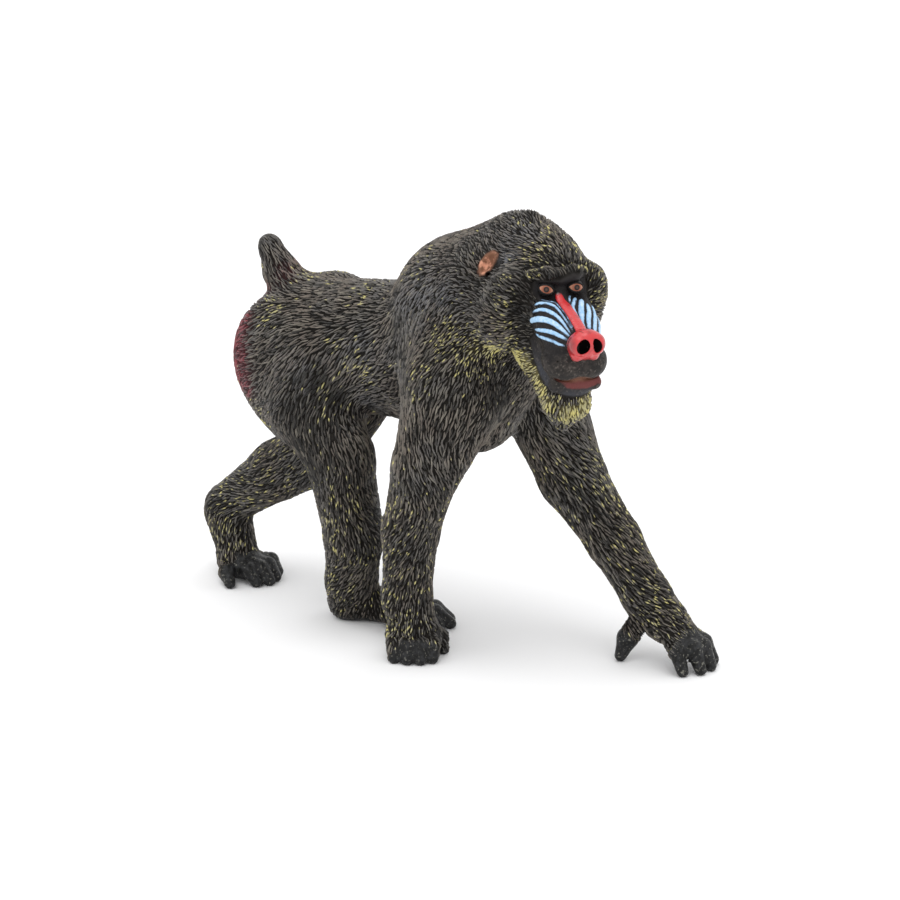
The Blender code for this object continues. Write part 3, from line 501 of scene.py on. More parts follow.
class Paint:  # a material's nodes, added one by one
    def __init__(self, name, roughness, specular):
        self.material = bpy.data.materials.new(name)
        self.material.use_nodes = True
        self.tree = self.material.node_tree
        self.shader = self.tree.nodes["Principled BSDF"]
        self.shader.inputs["Roughness"].default_value = roughness
        self.shader.inputs["Specular IOR Level"].default_value = specular

    def feed(self, socket, value):
        if isinstance(value, bpy.types.NodeSocket):
            self.tree.links.new(value, socket)
        elif socket.type == "RGBA":
            socket.default_value = (*value, 1)
        else:
            socket.default_value = value

    def masks(self, name, count=3):
        node = self.tree.nodes.new("ShaderNodeAttribute")
        node.attribute_name = name
        split = self.tree.nodes.new("ShaderNodeSeparateColor")
        self.tree.links.new(node.outputs["Color"], split.inputs["Color"])
        return list(split.outputs)[:count]

    def reckon(self, kind, operation, values):
        node = self.tree.nodes.new(kind)
        node.operation = operation
        for socket, value in zip(node.inputs, values):
            self.feed(socket, value)
        return node.outputs

    def math(self, operation, *values):
        return self.reckon("ShaderNodeMath", operation, values)[0]

    def vector(self, operation, *values):
        return self.reckon("ShaderNodeVectorMath", operation, values)

    def times(self, first, second):
        return self.math("MULTIPLY", first, second)

    def steps(self, value, low, high):  # a smooth step from 0 at low to 1 at high
        node = self.tree.nodes.new("ShaderNodeMapRange")
        node.interpolation_type = "SMOOTHSTEP"
        self.feed(node.inputs["Value"], value)
        node.inputs["From Min"].default_value = low
        node.inputs["From Max"].default_value = high
        return node.outputs[0]

    def mix(self, share, first, second):
        node = self.tree.nodes.new("ShaderNodeMix")
        node.data_type = "RGBA"
        self.feed(node.inputs["Factor"], share)
        self.feed(node.inputs[6], first)
        self.feed(node.inputs[7], second)
        return node.outputs[2]

    def noise(self, size, detail=2.0):  # size is the width of a spot, in millimetres
        place = self.tree.nodes.new("ShaderNodeTexCoord")
        node = self.tree.nodes.new("ShaderNodeTexNoise")
        self.tree.links.new(place.outputs["Object"], node.inputs["Vector"])
        node.inputs["Scale"].default_value = 1 / (size * millimetre)
        node.inputs["Detail"].default_value = detail
        return node.outputs["Fac"]

    def bump(self, height, depth, strength=1.0):  # depth in millimetres
        node = self.tree.nodes.new("ShaderNodeBump")
        node.inputs["Distance"].default_value = depth * millimetre
        node.inputs["Strength"].default_value = strength
        self.feed(node.inputs["Height"], height)
        self.tree.links.new(node.outputs["Normal"], self.shader.inputs["Normal"])

    def colour(self, value):
        self.feed(self.shader.inputs["Base Color"], value)
        return self.material


# Markings, shared by the skin and the coat

yellowPlaces = (  # (place on the body, reach, share of the strokes that are painted)
    ((17.2, -7.8, 66.6), 2.0, 0.6), ((16.8, -3.2, 68.6), 2.0, 0.3), ((19.4, 0.6, 66.1), 2.0, 0.45),
    ((22.6, -1.2, 63.0), 2.2, 0.55), ((22.5, 0.5, 58.7), 2.2, 0.55), ((21.2, -4.6, 64.8), 1.5, 0.5),
    ((12.4, -3.8, 70.2), 1.6, 0.3), ((18.1, -10.3, 64.3), 1.4, 0.4), ((15.3, -13.1, 62.2), 1.5, 0.45),
    ((14.9, -13.0, 58.7), 1.5, 0.45), ((14.7, -12.4, 56.2), 1.5, 0.4), ((8.2, -11.7, 50.8), 3.0, 0.75),
    ((11.0, -10.4, 50.2), 2.6, 1.0), ((14.5, -10.8, 50.4), 2.6, 1.0), ((17.1, -11.4, 50.8), 2.2, 1.0),
    ((4.2, -12.8, 53.0), 2.6, 0.6), ((19.6, -11.9, 49.8), 1.6, 1.0), ((21.0, -12.4, 47.8), 1.8, 1.0),
    ((22.5, -8.4, 44.6), 2.6, 1.0), ((25.5, -11.4, 44.6), 2.4, 1.0), ((26.9, -9.4, 45.6), 2.4, 1.0),
    ((23.0, -11.6, 46.0), 2.2, 1.0), ((-33.4, -7.4, 49.4), 2.2, 0.42), ((-32.7, 0.6, 53.2), 2.6, 0.38),
    ((-32.5, 4.9, 52.8), 2.6, 0.38), ((-17.9, -3.6, 53.8), 2.6, 0.38), ((-17.9, -8.6, 45.4), 2.6, 0.32),
    ((-14.5, -8.7, 43.5), 2.6, 0.38), ((-6.0, -6.7, 61.1), 2.6, 0.32), ((0.6, -14.5, 46.8), 2.6, 0.32),
    ((4.6, -12.4, 52.8), 2.2, 0.5), ((12.3, 8.5, 28.0), 4.0, 0.2), ((13.5, 14.5, 19.5), 3.5, 0.28),
    ((19.0, 14.5, 14.0), 3.5, 0.32), ((24.0, 11.0, 12.0), 3.0, 0.38), ((28.3, 11.0, 8.4), 2.5, 0.38),
    ((-19.9, -10.7, 38.6), 2.6, 0.24), ((-18.7, -8.7, 14.0), 4.0, 0.2), ((-4.8, -12.5, 25.0), 4.0, 0.2),
    ((-4.8, -11.5, 12.0), 4.0, 0.2), ((-48.3, 1.0, 15.0), 4.0, 0.2), ((-38.3, 1.0, 21.2), 3.5, 0.2),
    ((-7.5, -12.0, 8.0), 4.0, 0.4), ((-6.0, -11.0, 5.0), 3.0, 0.5), ((26.5, 9.8, 9.5), 3.0, 0.5),
    ((29.5, 11.5, 7.5), 2.4, 0.6), ((-52.5, 0.8, 8.0), 3.5, 0.4), ((-23.0, -6.5, 7.0), 3.5, 0.35),
    ((-7.0, -12.5, 17.0), 4.0, 0.3), ((-35.0, -8.8, 31.6), 2.6, 0.32), ((8.2, 9.2, 51.5), 3.0, 0.7),
    ((13.6, 10.2, 29.9), 2.2, 0.4), ((15.2, 10.8, 26.5), 2.4, 0.45), ((17.2, 12.1, 23.7), 2.2, 0.4),
    ((20.4, 10.9, 19.4), 2.6, 0.45), ((-8.3, -9.5, 24.2), 2.8, 0.3), ((-9.0, -7.2, 18.8), 2.8, 0.3),
    ((-17.0, -10.6, 22.7), 2.8, 0.3), ((-19.8, -10.2, 17.3), 2.8, 0.28), ((-47.7, 1.4, 18.4), 2.4, 0.34),
    ((-51.4, 1.1, 14.4), 2.6, 0.34), ((-44.4, 1.5, 21.6), 2.4, 0.3), ((12.0, 6.0, 50.5), 2.6, 0.9),
    ((4.2, 10.5, 53.0), 2.8, 0.4), ((20.5, -3.0, 49.5), 2.0, 1.0),
)
rosePlaces = [(mirrored(place, side), reach, share) for side in (-1, 1) for place, reach, share in (
    ((-39.4, 9.0, 42.4), 2.6, 1.0), ((-39.0, 9.4, 39.2), 2.8, 1.0), ((-37.6, 9.8, 36.9), 2.0, 0.8),
    ((-39.2, 7.6, 46.2), 2.4, 0.8), ((-42.0, 5.0, 44.0), 3.6, 1.0), ((-42.6, 4.5, 38.5), 4.2, 1.0),
    ((-38.4, 4.1, 49.6), 2.2, 0.4), ((-35.6, 1.2, 52.8), 2.4, 0.32))]
# pale blue-grey behind the ear: a pale brush, and a painted sheen
earBrushAndSheenPlaces = ((skull.at(-6.6, -6.5, 1.6), 1.5, 1.0), (skull.at(-5.7, -5.7, 2.7), 1.1, 0.7))
paleBrushAndSheenPlaces = (  # pale blue-grey on the fur: partly a pale brush, partly a painted sheen where the top surfaces catch the light
    *earBrushAndSheenPlaces, (skull.at(-11.5, -6.5, 0.0), 3.0, 0.35), ((3.0, -11.6, 58.4), 3.2, 0.5),
    ((-14.0, -9.0, 38.0), 4.0, 0.3), ((-27.0, -10.5, 42.0), 4.0, 0.25), ((-2.5, -9.5, 57.5), 4.5, 0.5),
    ((12.0, -7.5, 68.0), 4.0, 0.35), ((-15.0, -9.0, 46.0), 5.0, 0.3),
)
paintedShadePlaces = (  # painted shade: fur painted darker in the folds by the thigh and the shoulder, and on the chest under the head
    ((-24.0, -11.0, 34.0), 5.5, 0.7), ((-22.0, -11.0, 29.0), 4.0, 0.5), ((12.5, -9.5, 46.0), 4.0, 0.85),
    ((-13.0, -8.0, 36.0), 3.0, 0.4), ((-24.8, -11.6, 41.0), 1.8, 0.7), ((-21.6, -10.4, 40.8), 1.8, 0.9),
    ((-19.4, -8.8, 38.6), 2.0, 0.9), ((-9.5, -7.5, 56.3), 1.6, 0.5), ((-7.3, -9.8, 52.6), 1.6, 0.6),
    ((-5.1, -11.6, 48.7), 1.8, 0.6), ((-1.2, -14.7, 45.6), 1.8, 0.4), ((9.4, -6.8, 43.4), 3.0, 0.8),
)


def spread(places, spots):  # the strongest of the spots at each place, fading with distance
    total = np.zeros(len(places))
    for centre, reach, strength in spots:
        away = ((places - centre) ** 2).sum(axis=1) / reach ** 2
        total = np.maximum(total, strength * np.exp(-0.7 * away ** 1.5))
    return total


def sway(places, size, phase):  # a slow wave from -1 to 1 over the body
    turned = places @ np.array([[0.8, 0.3, -0.5], [-0.4, 0.9, 0.2], [0.45, 0.35, 0.85]])
    waves = np.sin(turned / size + phase) + 0.6 * np.sin(turned[:, [1, 2, 0]] * 1.9 / size + 2.1 * phase)
    return waves.sum(axis=1) / 3.6


def faceDepth(places):  # how far each place lies inside the bare face, in millimetres
    forward, left, up = skull.local(places).T
    wideLeft, wideRight = np.interp(up, [-2.5, -0.5], [5.1, 4.7]), np.interp(up, [-2.0, -0.3], [4.6, 3.8])
    wide = np.where(left > 0, wideLeft, wideRight)
    ring = wide * (1 - (np.abs(left / wide) ** 2.6 + np.abs((up + 1.6) / 4.9) ** 2.6) ** (1 / 2.6))
    jaw = np.interp(forward, [2, 4.1, 6.3, 8.3, 10.2, 13.5], [-6.0, -6.8, -7.9, -8.5, -8.9, -8.2])
    brow = np.interp(left, [-4.5, -3.4, -2.2, -0.6, 0.8, 2.6, 4.6], [1.2, 1.8, 2.1, 2.1, 2.8, 3.8, 2.9]) - up
    inside = np.minimum(np.minimum(np.maximum(ring, forward - 3.4), brow), up - jaw)
    inside = np.minimum(inside, forward + 2.2)
    return np.where(np.linalg.norm(places - skull.origin, axis=1) < 22, inside, -9)


def bareFace(places):  # 1 on the bare skin of the face and muzzle
    return smooth(faceDepth(places) / 0.5)


def earShare(places):
    total = np.zeros(len(places))
    for side in (-1, 1):
        out, back, up = earAxes(side).local(places).T
        near = np.sqrt((out / 1.6) ** 2 + ((back + 0.4 * side) / 2.15) ** 2 + ((up - 0.3) / 3.0) ** 2)
        total = np.maximum(total, smooth((1.0 - near) * 8) * smooth((out + 0.25) / 0.4))
    return total


digitLimits = (  # (joint, heading, where the bare digits start, how long they are)
    ("palmRight", "handRight", 5.1, 8), ("heelRight", "footRight", 9.6, 12), ("ballLeft", "footLeft", 2.4, 9),
)


def bareDigits(places):  # 1 on the fingers, toes and soles
    total = smooth((0.9 - places[:, 2]) / 0.5)
    for joint, heading, start, length in digitLimits:
        forward, left, up = Axes(body[joint], headings[heading]).local(places).T
        near = (np.abs(left) < 7) & (forward < start + length) & (up < 4.6)
        total = np.maximum(total, smooth((forward - start + 0.5 * sway(places, 0.5, 0.4)) / 0.6) * near)
    forward = Axes(body["knucklesLeft"], (1, 0, -0.35)).local(places)[:, 0]
    near = (places[:, 1] > 5) & (places[:, 2] < 8)
    total = np.maximum(total, smooth((forward - 0.9) / 0.8) * near)
    thumb = np.linalg.norm((places - (21.6, 8.7, 2.4)) / (2.4, 2.4, 3.0), axis=1)
    return np.maximum(total, smooth((1 - thumb) * 3))


def furShare(places):
    return np.clip(1 - bareFace(places) - earShare(places) - bareDigits(places), 0, 1)


# The lie of the coat: the strokes near each place lean its way

headGuides = (  # (region, place on the head, way there, reach)
    ("head", (-1.6, 0, 3.5), (-0.7, 0, 0.75), 3.0),
    ("head", (-8, 0, 4.5), (-1, 0, 0.25), 4.0),
    ("head", (-5, 5, 2.5), (-0.85, 0.5, 0.2), 4.0),
    ("head", (-2, 6, 1.5), (-0.6, 0.7, 0.45), 3.0),
    ("head", (-1, 8, -3), (-0.75, 0.65, -0.05), 3.0),
    ("head", (-0.5, 7.5, -8), (-0.7, 0.35, -0.65), 3.5),
    ("head", (4, 5, -10), (-0.65, 0.2, -0.75), 3.0),
    ("head", (9, 4, -12), (-0.15, 0.1, -1), 3.0),
    ("head", (13, 0, -12), (0.15, 0, -1), 3.0),
    ("head", (4, 0, -14), (-0.5, 0, -0.8), 3.0),
    ("mane", (-8, 9, -8), (-0.9, 0.1, -0.55), 4.0),
    ("mane", (-12, 7, -3), (-1, 0.1, -0.35), 4.0),
    ("mane", (-15, 0, 1), (-0.8, 0, -0.6), 4.0),
)
bodyGuides = (  # the same for the left side of the trunk, in the body's frame
    ("mane", (0, 3, 64), (-1, 0, -0.45), 6),
    ("mane", (2, 9, 56), (-0.6, 0.1, -0.8), 6),
    ("mane", (8, 7, 47), (-0.35, 0, -0.95), 6),
    ("flank", (-12, 3, 55), (-0.95, 0.2, -0.3), 7),
    ("flank", (-5, 11, 50), (-0.35, 0, -0.95), 5),
    ("flank", (-10, 9, 47), (-0.75, 0, -0.6), 6),
    ("flank", (-18, 8, 42), (-0.8, 0, -0.6), 7),
    ("flank", (-10, 3, 33), (-1, 0, -0.1), 6),
    ("rump", (-27, 4, 52), (-1, 0.2, -0.15), 6),
    ("rump", (-34, 9, 45), (-0.9, 0, -0.42), 6),
    ("rump", (-30, 10, 38), (-0.8, 0, -0.6), 5),
    ("rump", (-41, 4, 42), (-0.25, 0.2, -1), 5),
)
limbGuides = {
    "tail": ("tailRoot", "tailBend", "tailTip"),
    "armRight": ("shoulderRight", "elbowRight", "forearmRight", "wristRight", "palmRight"),
    "armLeft": ("shoulderLeft", "elbowLeft", "forearmLeft", "wristLeft", "palmLeft", "knucklesLeft"),
    "legRight": ("hipRight", "kneeRight", "shankRight", "ankleRight", "heelRight"),
    "legLeft": ("hipLeft", "kneeLeft", "shankLeft", "ankleLeft", "ballLeft"),
}


def coatGuides():  # every guide as (place, way, reach, region), in the body's frame
    guides = []
    for name, place, way, reach in headGuides:
        for side in (-1, 1) if place[1] or way[1] else (1,):
            there, turned = skull.at(*mirrored(place, side)), skull.turn(*mirrored(way, side))
            guides.append((there, unit(turned), reach, name))
    for name, place, way, reach in bodyGuides:
        guides += [(mirrored(place, side), unit(mirrored(way, side)), reach, name) for side in (-1, 1)]
    for name, joints in limbGuides.items():
        for start, end in zip(joints, joints[1:]):
            for share in (0.2, 0.8):
                place = body[start] * (1 - share) + body[end] * share
                guides.append((place, unit(body[end] - body[start]), 6.0, name))
    return guides + [(point(-16, 1, 3.5), unit((1, 0.36, -0.1)), 5.0, "legRight")]


lieGuides = coatGuides()
regionNames = sorted({guide[3] for guide in lieGuides})


def lieAt(places):  # the lie at each place, and the index of its region
    total = np.zeros((len(places), 3))
    weights = np.zeros((len(regionNames), len(places)))
    for place, way, reach, name in lieGuides:
        near = (((places - place) ** 2).sum(axis=1) / reach ** 2 + 0.3) ** -3
        total += near[:, None] * way
        weights[regionNames.index(name)] += near
    return unit(total), weights.argmax(axis=0)


# Fur strokes: closed, leaf-shaped ridges that hug the clay along its lie

coatSettings = {
    "seed": 7,
    "spots": 480000,  # tried as roots
    "leastFur": 0.6,
    "leastHeight": 0.9,
    "mostEar": 0.85,  # a stroke that lies further over an ear is left out
    "headCentre": (-2, 0, -5),  # on the head, with how far its finer strokes reach and fade
    "headReach": 19,
    "headFade": 6,
    "along": (0.9, 0.74),  # between the roots, on the body and on the head
    "across": (0.29, 0.25),
    "shortest": (1.2, 0.9),
    "longest": (2.5, 1.65),
    "halfWidth": (0.205, 0.172),
    "relief": 0.28,
    "sink": 0.12,  # how deep the edges lie under the skin
    "tipSink": 0.02,
    "sway": 0.5,  # radians
    "ragged": 0.15,
    "bend": 0.3,
    "depth": 0.18,  # the skin lies this far inside the body's surface
    "limbTop": 31,  # the limbs' own paint starts below this height
}
strokeStations = (0.0, 0.1, 0.28, 0.5, 0.72, 0.9, 1.0)
strokeWidths = (0.6, 1.0, 1.0, 0.85, 0.5)
strokeHeights = (0.5, 1.0, 1.0, 0.95, 0.6)
strokeRings = len(strokeWidths)
strokeCorners = 3 * strokeRings + 2
strokeMiddle = 2 + 3 * (strokeRings // 2)  # the corner on top of the middle ring


def strokeTriangles():
    last = strokeCorners - 1
    triangles = [(0, 2, 1), (0, 3, 2), (0, 1, 3)]
    triangles += [(last, last - 3, last - 2), (last, last - 2, last - 1), (last, last - 1, last - 3)]
    for ring in range(strokeRings - 1):
        left, top, right = 1 + 3 * ring, 2 + 3 * ring, 3 + 3 * ring
        for a, b in ((left, top), (top, right), (right, left)):
            triangles += [(a, b, b + 3), (a, b + 3, a + 3)]
    return np.array(triangles)


def onBoth(name, headShare):  # a setting between its values on the body and on the head
    onBody, onHead = coatSettings[name]
    return onBody + (onHead - onBody) * headShare


def pickSpots(places, triangles, count, draw):  # random spots, evenly over the skin
    a, b, c = (places[triangles[:, i]] for i in range(3))
    area = np.linalg.norm(np.cross(b - a, c - a), axis=1)
    chosen = draw.choice(len(triangles), count, p=area / area.sum())
    u, v = draw.random((2, count))
    flip = u + v > 1
    u, v = np.where(flip, 1 - u, u), np.where(flip, 1 - v, v)
    return a[chosen] + (b - a)[chosen] * u[:, None] + (c - a)[chosen] * v[:, None]


def combedRoots(spots, ways, along, across):
    # Keeps a spot when no kept one lies within its long, narrow reach: strokes end up side by side.
    kept, cells = [], {}
    cellSize, cellOffset = 1.1, 100  # a cell is wider than the longest reach, and its numbers are positive
    rows = np.concatenate([spots, ways], axis=1).tolist()
    for index, (x, y, z, wx, wy, wz) in enumerate(rows):
        cell = tuple(int(value / cellSize + cellOffset) for value in (x, y, z))
        longSquared, wideSquared = along[index] ** 2, across[index] ** 2
        free = True
        for key in itertools.product(*((c - 1, c, c + 1) for c in cell)):
            for px, py, pz in cells.get(key, ()):
                dx, dy, dz = x - px, y - py, z - pz
                run = dx * wx + dy * wy + dz * wz
                run *= run
                if run / longSquared + (dx * dx + dy * dy + dz * dz - run) / wideSquared < 1:
                    free = False
                    break
            if not free:
                break
        if free:
            kept.append(index)
            cells.setdefault(cell, []).append((x, y, z))
    return np.array(kept)


def combed(places):  # the way each stroke starts, along the surface
    way = lieAt(places)[0]
    normal = clay.outward(places)
    way = unit(way - normal * (way * normal).sum(axis=1, keepdims=True))
    angle = (coatSettings["sway"] * sway(places, 3.6, 1.3))[:, None]
    return way * np.cos(angle) + np.cross(normal, way) * np.sin(angle)


def growStrokes(roots, ways, headShare, draw):
    # Returns the corners of every stroke as (stroke, corner, xyz).
    settings = coatSettings
    count = len(roots)
    centre = [clay.settle(roots, -settings["depth"], 2)]
    normal = clay.outward(roots)
    angle = (settings["ragged"] * draw.standard_normal(count))[:, None]
    way = ways * np.cos(angle) + np.cross(normal, ways) * np.sin(angle)
    shortest, longest = onBoth("shortest", headShare), onBoth("longest", headShare)
    length = shortest + (longest - shortest) * draw.random(count)
    length = length * np.interp(roots[:, 2], [3, 13], [0.65, 1])  # shorter near the floor
    bend = draw.normal(0, settings["bend"], count)
    normals = [normal]
    for before, after in zip(strokeStations, strokeStations[1:]):
        forward = centre[-1] + way * (length * (after - before))[:, None]
        centre.append(clay.settle(forward, -settings["depth"], 2))
        normal = clay.outward(centre[-1])
        normals.append(normal)
        way = unit(way - normal * (way * normal).sum(axis=1, keepdims=True))
        turn = (bend * (after - before) * np.where(after < 0.6, 1, -1.2))[:, None]
        way = unit(way + np.cross(normal, way) * turn)
    width = onBoth("halfWidth", headShare) * draw.uniform(0.8, 1.2, count)
    relief = settings["relief"] * draw.uniform(0.75, 1.1, count)
    corners = np.empty((count, strokeCorners, 3))
    corners[:, 0] = centre[0] - normals[0] * settings["sink"]
    corners[:, -1] = centre[-1] - normals[-1] * settings["tipSink"]
    for ring in range(strokeRings):
        spot, normal = centre[ring + 1], normals[ring + 1]
        ahead = unit(centre[ring + 2] - centre[ring])
        side = unit(np.cross(normal, ahead)) * (width * strokeWidths[ring])[:, None]
        corners[:, 1 + 3 * ring] = spot + side - normal * settings["sink"]
        corners[:, 2 + 3 * ring] = spot + normal * (relief * strokeHeights[ring])[:, None]
        corners[:, 3 + 3 * ring] = spot - side - normal * settings["sink"]
    return corners


def alongStroke(tops, sides, tip):  # (strokes, rings) values spread over the corners of each stroke
    values = np.zeros((len(tops), strokeCorners))
    values[:, 2:-1:3] = tops
    values[:, 1:-1:3] = values[:, 3:-1:3] = tops * sides
    values[:, -1] = tip * tops[:, -1]
    return values


bakeSettings = {"margin": 0.012, "room": (0.476, 0.309), "patch": 0.003}  # room inside one of six cells


def bakeMap(piece, roots, normals, faces):
    # Each stroke is a small patch at its root's place on a six-sided unwrap of the skin below it.
    margin = bakeSettings["margin"]
    axis = np.abs(normals).argmax(axis=1)
    chart = axis * 2 + (normals[np.arange(len(roots)), axis] > 0)
    spots = np.empty((len(roots), 2))
    for index in np.unique(chart):
        mine = chart == index
        flat = roots[mine][:, [(1, 2), (0, 2), (0, 1)][index // 2]]
        flat = flat - flat.min(axis=0)
        if flat[:, 1].max() > flat[:, 0].max():
            flat = flat[:, ::-1]
        flat = flat / np.maximum(flat.max(axis=0), 1e-6)
        cell = point(index % 2 * 0.5, index // 2 / 3)
        spots[mine] = cell + point(margin, margin) + flat * bakeSettings["room"]
    inner = np.repeat(np.arange(1, strokeRings + 1), 3)
    along = np.concatenate([[0], inner, [strokeRings + 1]]) / (strokeRings + 1) - 0.5
    across = np.concatenate([[0], np.tile([-1, 0, 1], strokeRings), [0]]) / 2
    patch = np.stack([across, along], axis=1) * bakeSettings["patch"]
    corners = (spots[:, None] + patch).reshape(-1, 2)
    layer = piece.data.uv_layers.new(name="OFBake")
    layer.uv.foreach_set("vector", corners[faces.ravel()].astype(np.float32).ravel())


# Paints

colours = {  # linear values
    "groove": (0.0065, 0.0055, 0.0045),
    "furGround": (0.016, 0.014, 0.012),  # the skin between the strokes
    "yellowGround": (0.14, 0.12, 0.05),
    "ridgeBrown": (0.165, 0.137, 0.112),
    # blue-grey crests: the toy's paint, and also a painted sheen
    "ridgeBlue": (0.142, 0.133, 0.125),
    "worn": (0.27, 0.245, 0.2),
    "yellow": (0.67, 0.6, 0.23),
    "paleYellow": (0.5, 0.46, 0.24),
    "rose": (0.27, 0.05, 0.062),
    "roseGroove": (0.05, 0.008, 0.011),
    "bareBlack": (0.012, 0.0105, 0.011),
    "brow": (0.024, 0.0215, 0.021),
    "muzzle": (0.036, 0.031, 0.028),
    "muzzleDark": (0.019, 0.017, 0.016),
    "muzzleWorn": (0.10, 0.086, 0.076),
    "cheekBlue": (0.042, 0.045, 0.056),
    "lip": (0.13, 0.037, 0.035),
    "mouthLine": (0.16, 0.075, 0.045),
    "ear": (0.6, 0.29, 0.19),
    "earBrown": (0.18, 0.085, 0.052),
    "earHollow": (0.012, 0.006, 0.005),
    "digits": (0.024, 0.0245, 0.026),
    "digitsDark": (0.008, 0.008, 0.008),
    "digitsFlecksAndGlints": (0.17, 0.165, 0.14),
    # pale blue-grey of a pale brush, also used as a painted sheen
    "brushAndSheen": (0.215, 0.225, 0.255),
    "sky": (0.28, 0.49, 0.73),
    "skyPale": (0.54, 0.69, 0.82),
    "skyGroove": (0.07, 0.10, 0.15),
    "red": (0.53, 0.017, 0.021),
    "redDark": (0.3, 0.01, 0.014),
    "redShade": (0.2, 0.008, 0.011),  # painted shade under the nose and on its sides behind the wings
    "nostril": (0.006, 0.004, 0.004),
    "iris": (0.46, 0.22, 0.14),
    "irisInner": (0.26, 0.085, 0.045),
    "pupil": (0.006, 0.003, 0.003),
    "pupilMiddleGlint": (0.06, 0.03, 0.02),
    "lid": (0.007, 0.006, 0.006),
}


def coatPaint():
    paint = Paint("carved fur, dry-brushed", 0.38, 0.42)
    ridge, yellow, rose = paint.masks("marks")
    brushAndSheen, tint = paint.masks("touches", 2)
    mottle = paint.noise(0.45, 3)
    patches = paint.math("ADD", mottle, 0.5)
    top = paint.steps(paint.math("MULTIPLY_ADD", mottle, 0.7, paint.math("ADD", ridge, -0.35)), 0.4, 0.98)
    # brown and blue-grey crests in broad patches at random; the blue-grey also stands for a painted sheen
    blueSheenPatches = paint.steps(paint.noise(7.0, 2), 0.4, 0.62)
    ridgeTone = paint.mix(blueSheenPatches, colours["ridgeBrown"], colours["ridgeBlue"])
    base = paint.mix(top, colours["groove"], ridgeTone)
    base = paint.mix(paint.times(paint.times(ridge, tint), 0.75), base, colours["worn"])
    # pale brush and painted sheen on the crests of the strokes
    brushed = paint.times(paint.times(brushAndSheen, ridge), paint.steps(mottle, 0.35, 0.6))
    base = paint.mix(brushed, base, colours["brushAndSheen"])
    red = paint.mix(top, colours["roseGroove"], colours["rose"])
    base = paint.mix(paint.steps(paint.times(rose, patches), 0.15, 0.75), base, red)
    gold = paint.mix(paint.steps(paint.noise(1.6, 2), 0.38, 0.6), colours["paleYellow"], colours["yellow"])
    base = paint.mix(paint.steps(paint.times(yellow, patches), 0.38, 0.78), base, gold)
    paint.bump(paint.noise(0.16, 2), 0.03, 0.7)
    return paint.colour(base)


def skinPaint():
    paint = Paint("moulded skin paint", 0.42, 0.45)
    bare, black, ear = paint.masks("zones")
    lip, digits, brushAndSheen = paint.masks("touches")
    hollow, yellow, rose = paint.masks("marks")
    line, blue, brow = paint.masks("face")
    mottle = paint.noise(0.7, 4)
    flecks = paint.noise(0.4, 5)
    base = paint.mix(paint.steps(mottle, 0.4, 0.7), colours["groove"], colours["furGround"])
    base = paint.mix(rose, base, colours["roseGroove"])
    base = paint.mix(paint.steps(yellow, 0.6, 1.2), base, colours["yellowGround"])
    muzzle = paint.mix(paint.steps(paint.noise(0.8, 4), 0.36, 0.6), colours["muzzleDark"], colours["muzzle"])
    muzzle = paint.mix(paint.steps(flecks, 0.54, 0.7), muzzle, colours["muzzleWorn"])
    muzzle = paint.mix(paint.times(blue, 0.8), muzzle, colours["cheekBlue"])
    muzzle = paint.mix(brow, muzzle, colours["brow"])
    muzzle = paint.mix(black, muzzle, colours["bareBlack"])
    base = paint.mix(bare, base, muzzle)
    lipShare = paint.steps(paint.times(lip, paint.math("ADD", mottle, 0.5)), 0.3, 0.8)
    base = paint.mix(lipShare, base, colours["lip"])
    base = paint.mix(paint.times(line, 0.85), base, colours["mouthLine"])
    fingers = paint.mix(paint.steps(mottle, 0.4, 0.66), colours["digitsDark"], colours["digits"])
    # pale flecks on the digits: worn paint, and painted glints that stand for their gloss
    fingers = paint.mix(paint.steps(flecks, 0.57, 0.72), fingers, colours["digitsFlecksAndGlints"])
    base = paint.mix(digits, base, fingers)
    # pale brush and painted sheen behind the ears
    base = paint.mix(paint.times(brushAndSheen, paint.steps(mottle, 0.4, 0.6)), base, colours["brushAndSheen"])
    earTone = paint.mix(paint.steps(paint.noise(1.1, 4), 0.4, 0.6), colours["ear"], colours["earBrown"])
    base = paint.mix(ear, base, paint.mix(hollow, earTone, colours["earHollow"]))
    shine = paint.math("MULTIPLY_ADD", digits, 0.12, paint.math("MULTIPLY_ADD", bare, 0.06, 0.06))
    paint.feed(paint.shader.inputs["Specular IOR Level"], shine)
    paint.bump(paint.noise(0.4, 4), 0.12)
    return paint.colour(base)


# The skin, one closed surface over the whole body

skinSettings = {
    "step": 0.42,  # of the clay's grid
    "low": (-61.0, -19.0, -2.0),
    "high": (38.0, 19.0, 73.0),
    "fineStep": 0.2,  # of its grid round the face
    "fineLow": (8.0, -17.0, 42.5),
    "fineHigh": (32.0, 4.0, 70.0),
    "mostTriangles": 190000,
    "soleHeight": 0.02,  # the skin stays where it is below this height, and sinks under the fur above it
}


def pressBody():
    s = skinSettings
    ends = zip(s["low"], s["high"], s["fineLow"], s["fineHigh"])
    clay = Clay([gridLine(a, b, s["step"], c, d, s["fineStep"]) for a, b, c, d in ends])
    pressTrunk(clay)
    pressRightLeg(clay)
    pressLeftLeg(clay)
    pressRightArm(clay)
    pressLeftArm(clay)
    pressHead(clay)
    clay.cutFloor()
    return clay


def thinned(piece, most):  # fewer faces, fewest where the surface is flat
    count = sum(len(polygon.vertices) - 2 for polygon in piece.data.polygons)
    thin = piece.modifiers.new("fewer faces", "DECIMATE")
    thin.ratio = min(1.0, most / count)
    graph = bpy.context.evaluated_depsgraph_get()
    fresh = bpy.data.meshes.new_from_object(piece.evaluated_get(graph))
    old = piece.data
    piece.modifiers.clear()
    piece.data = fresh
    fresh.name = piece.name
    bpy.data.meshes.remove(old)
    return piece


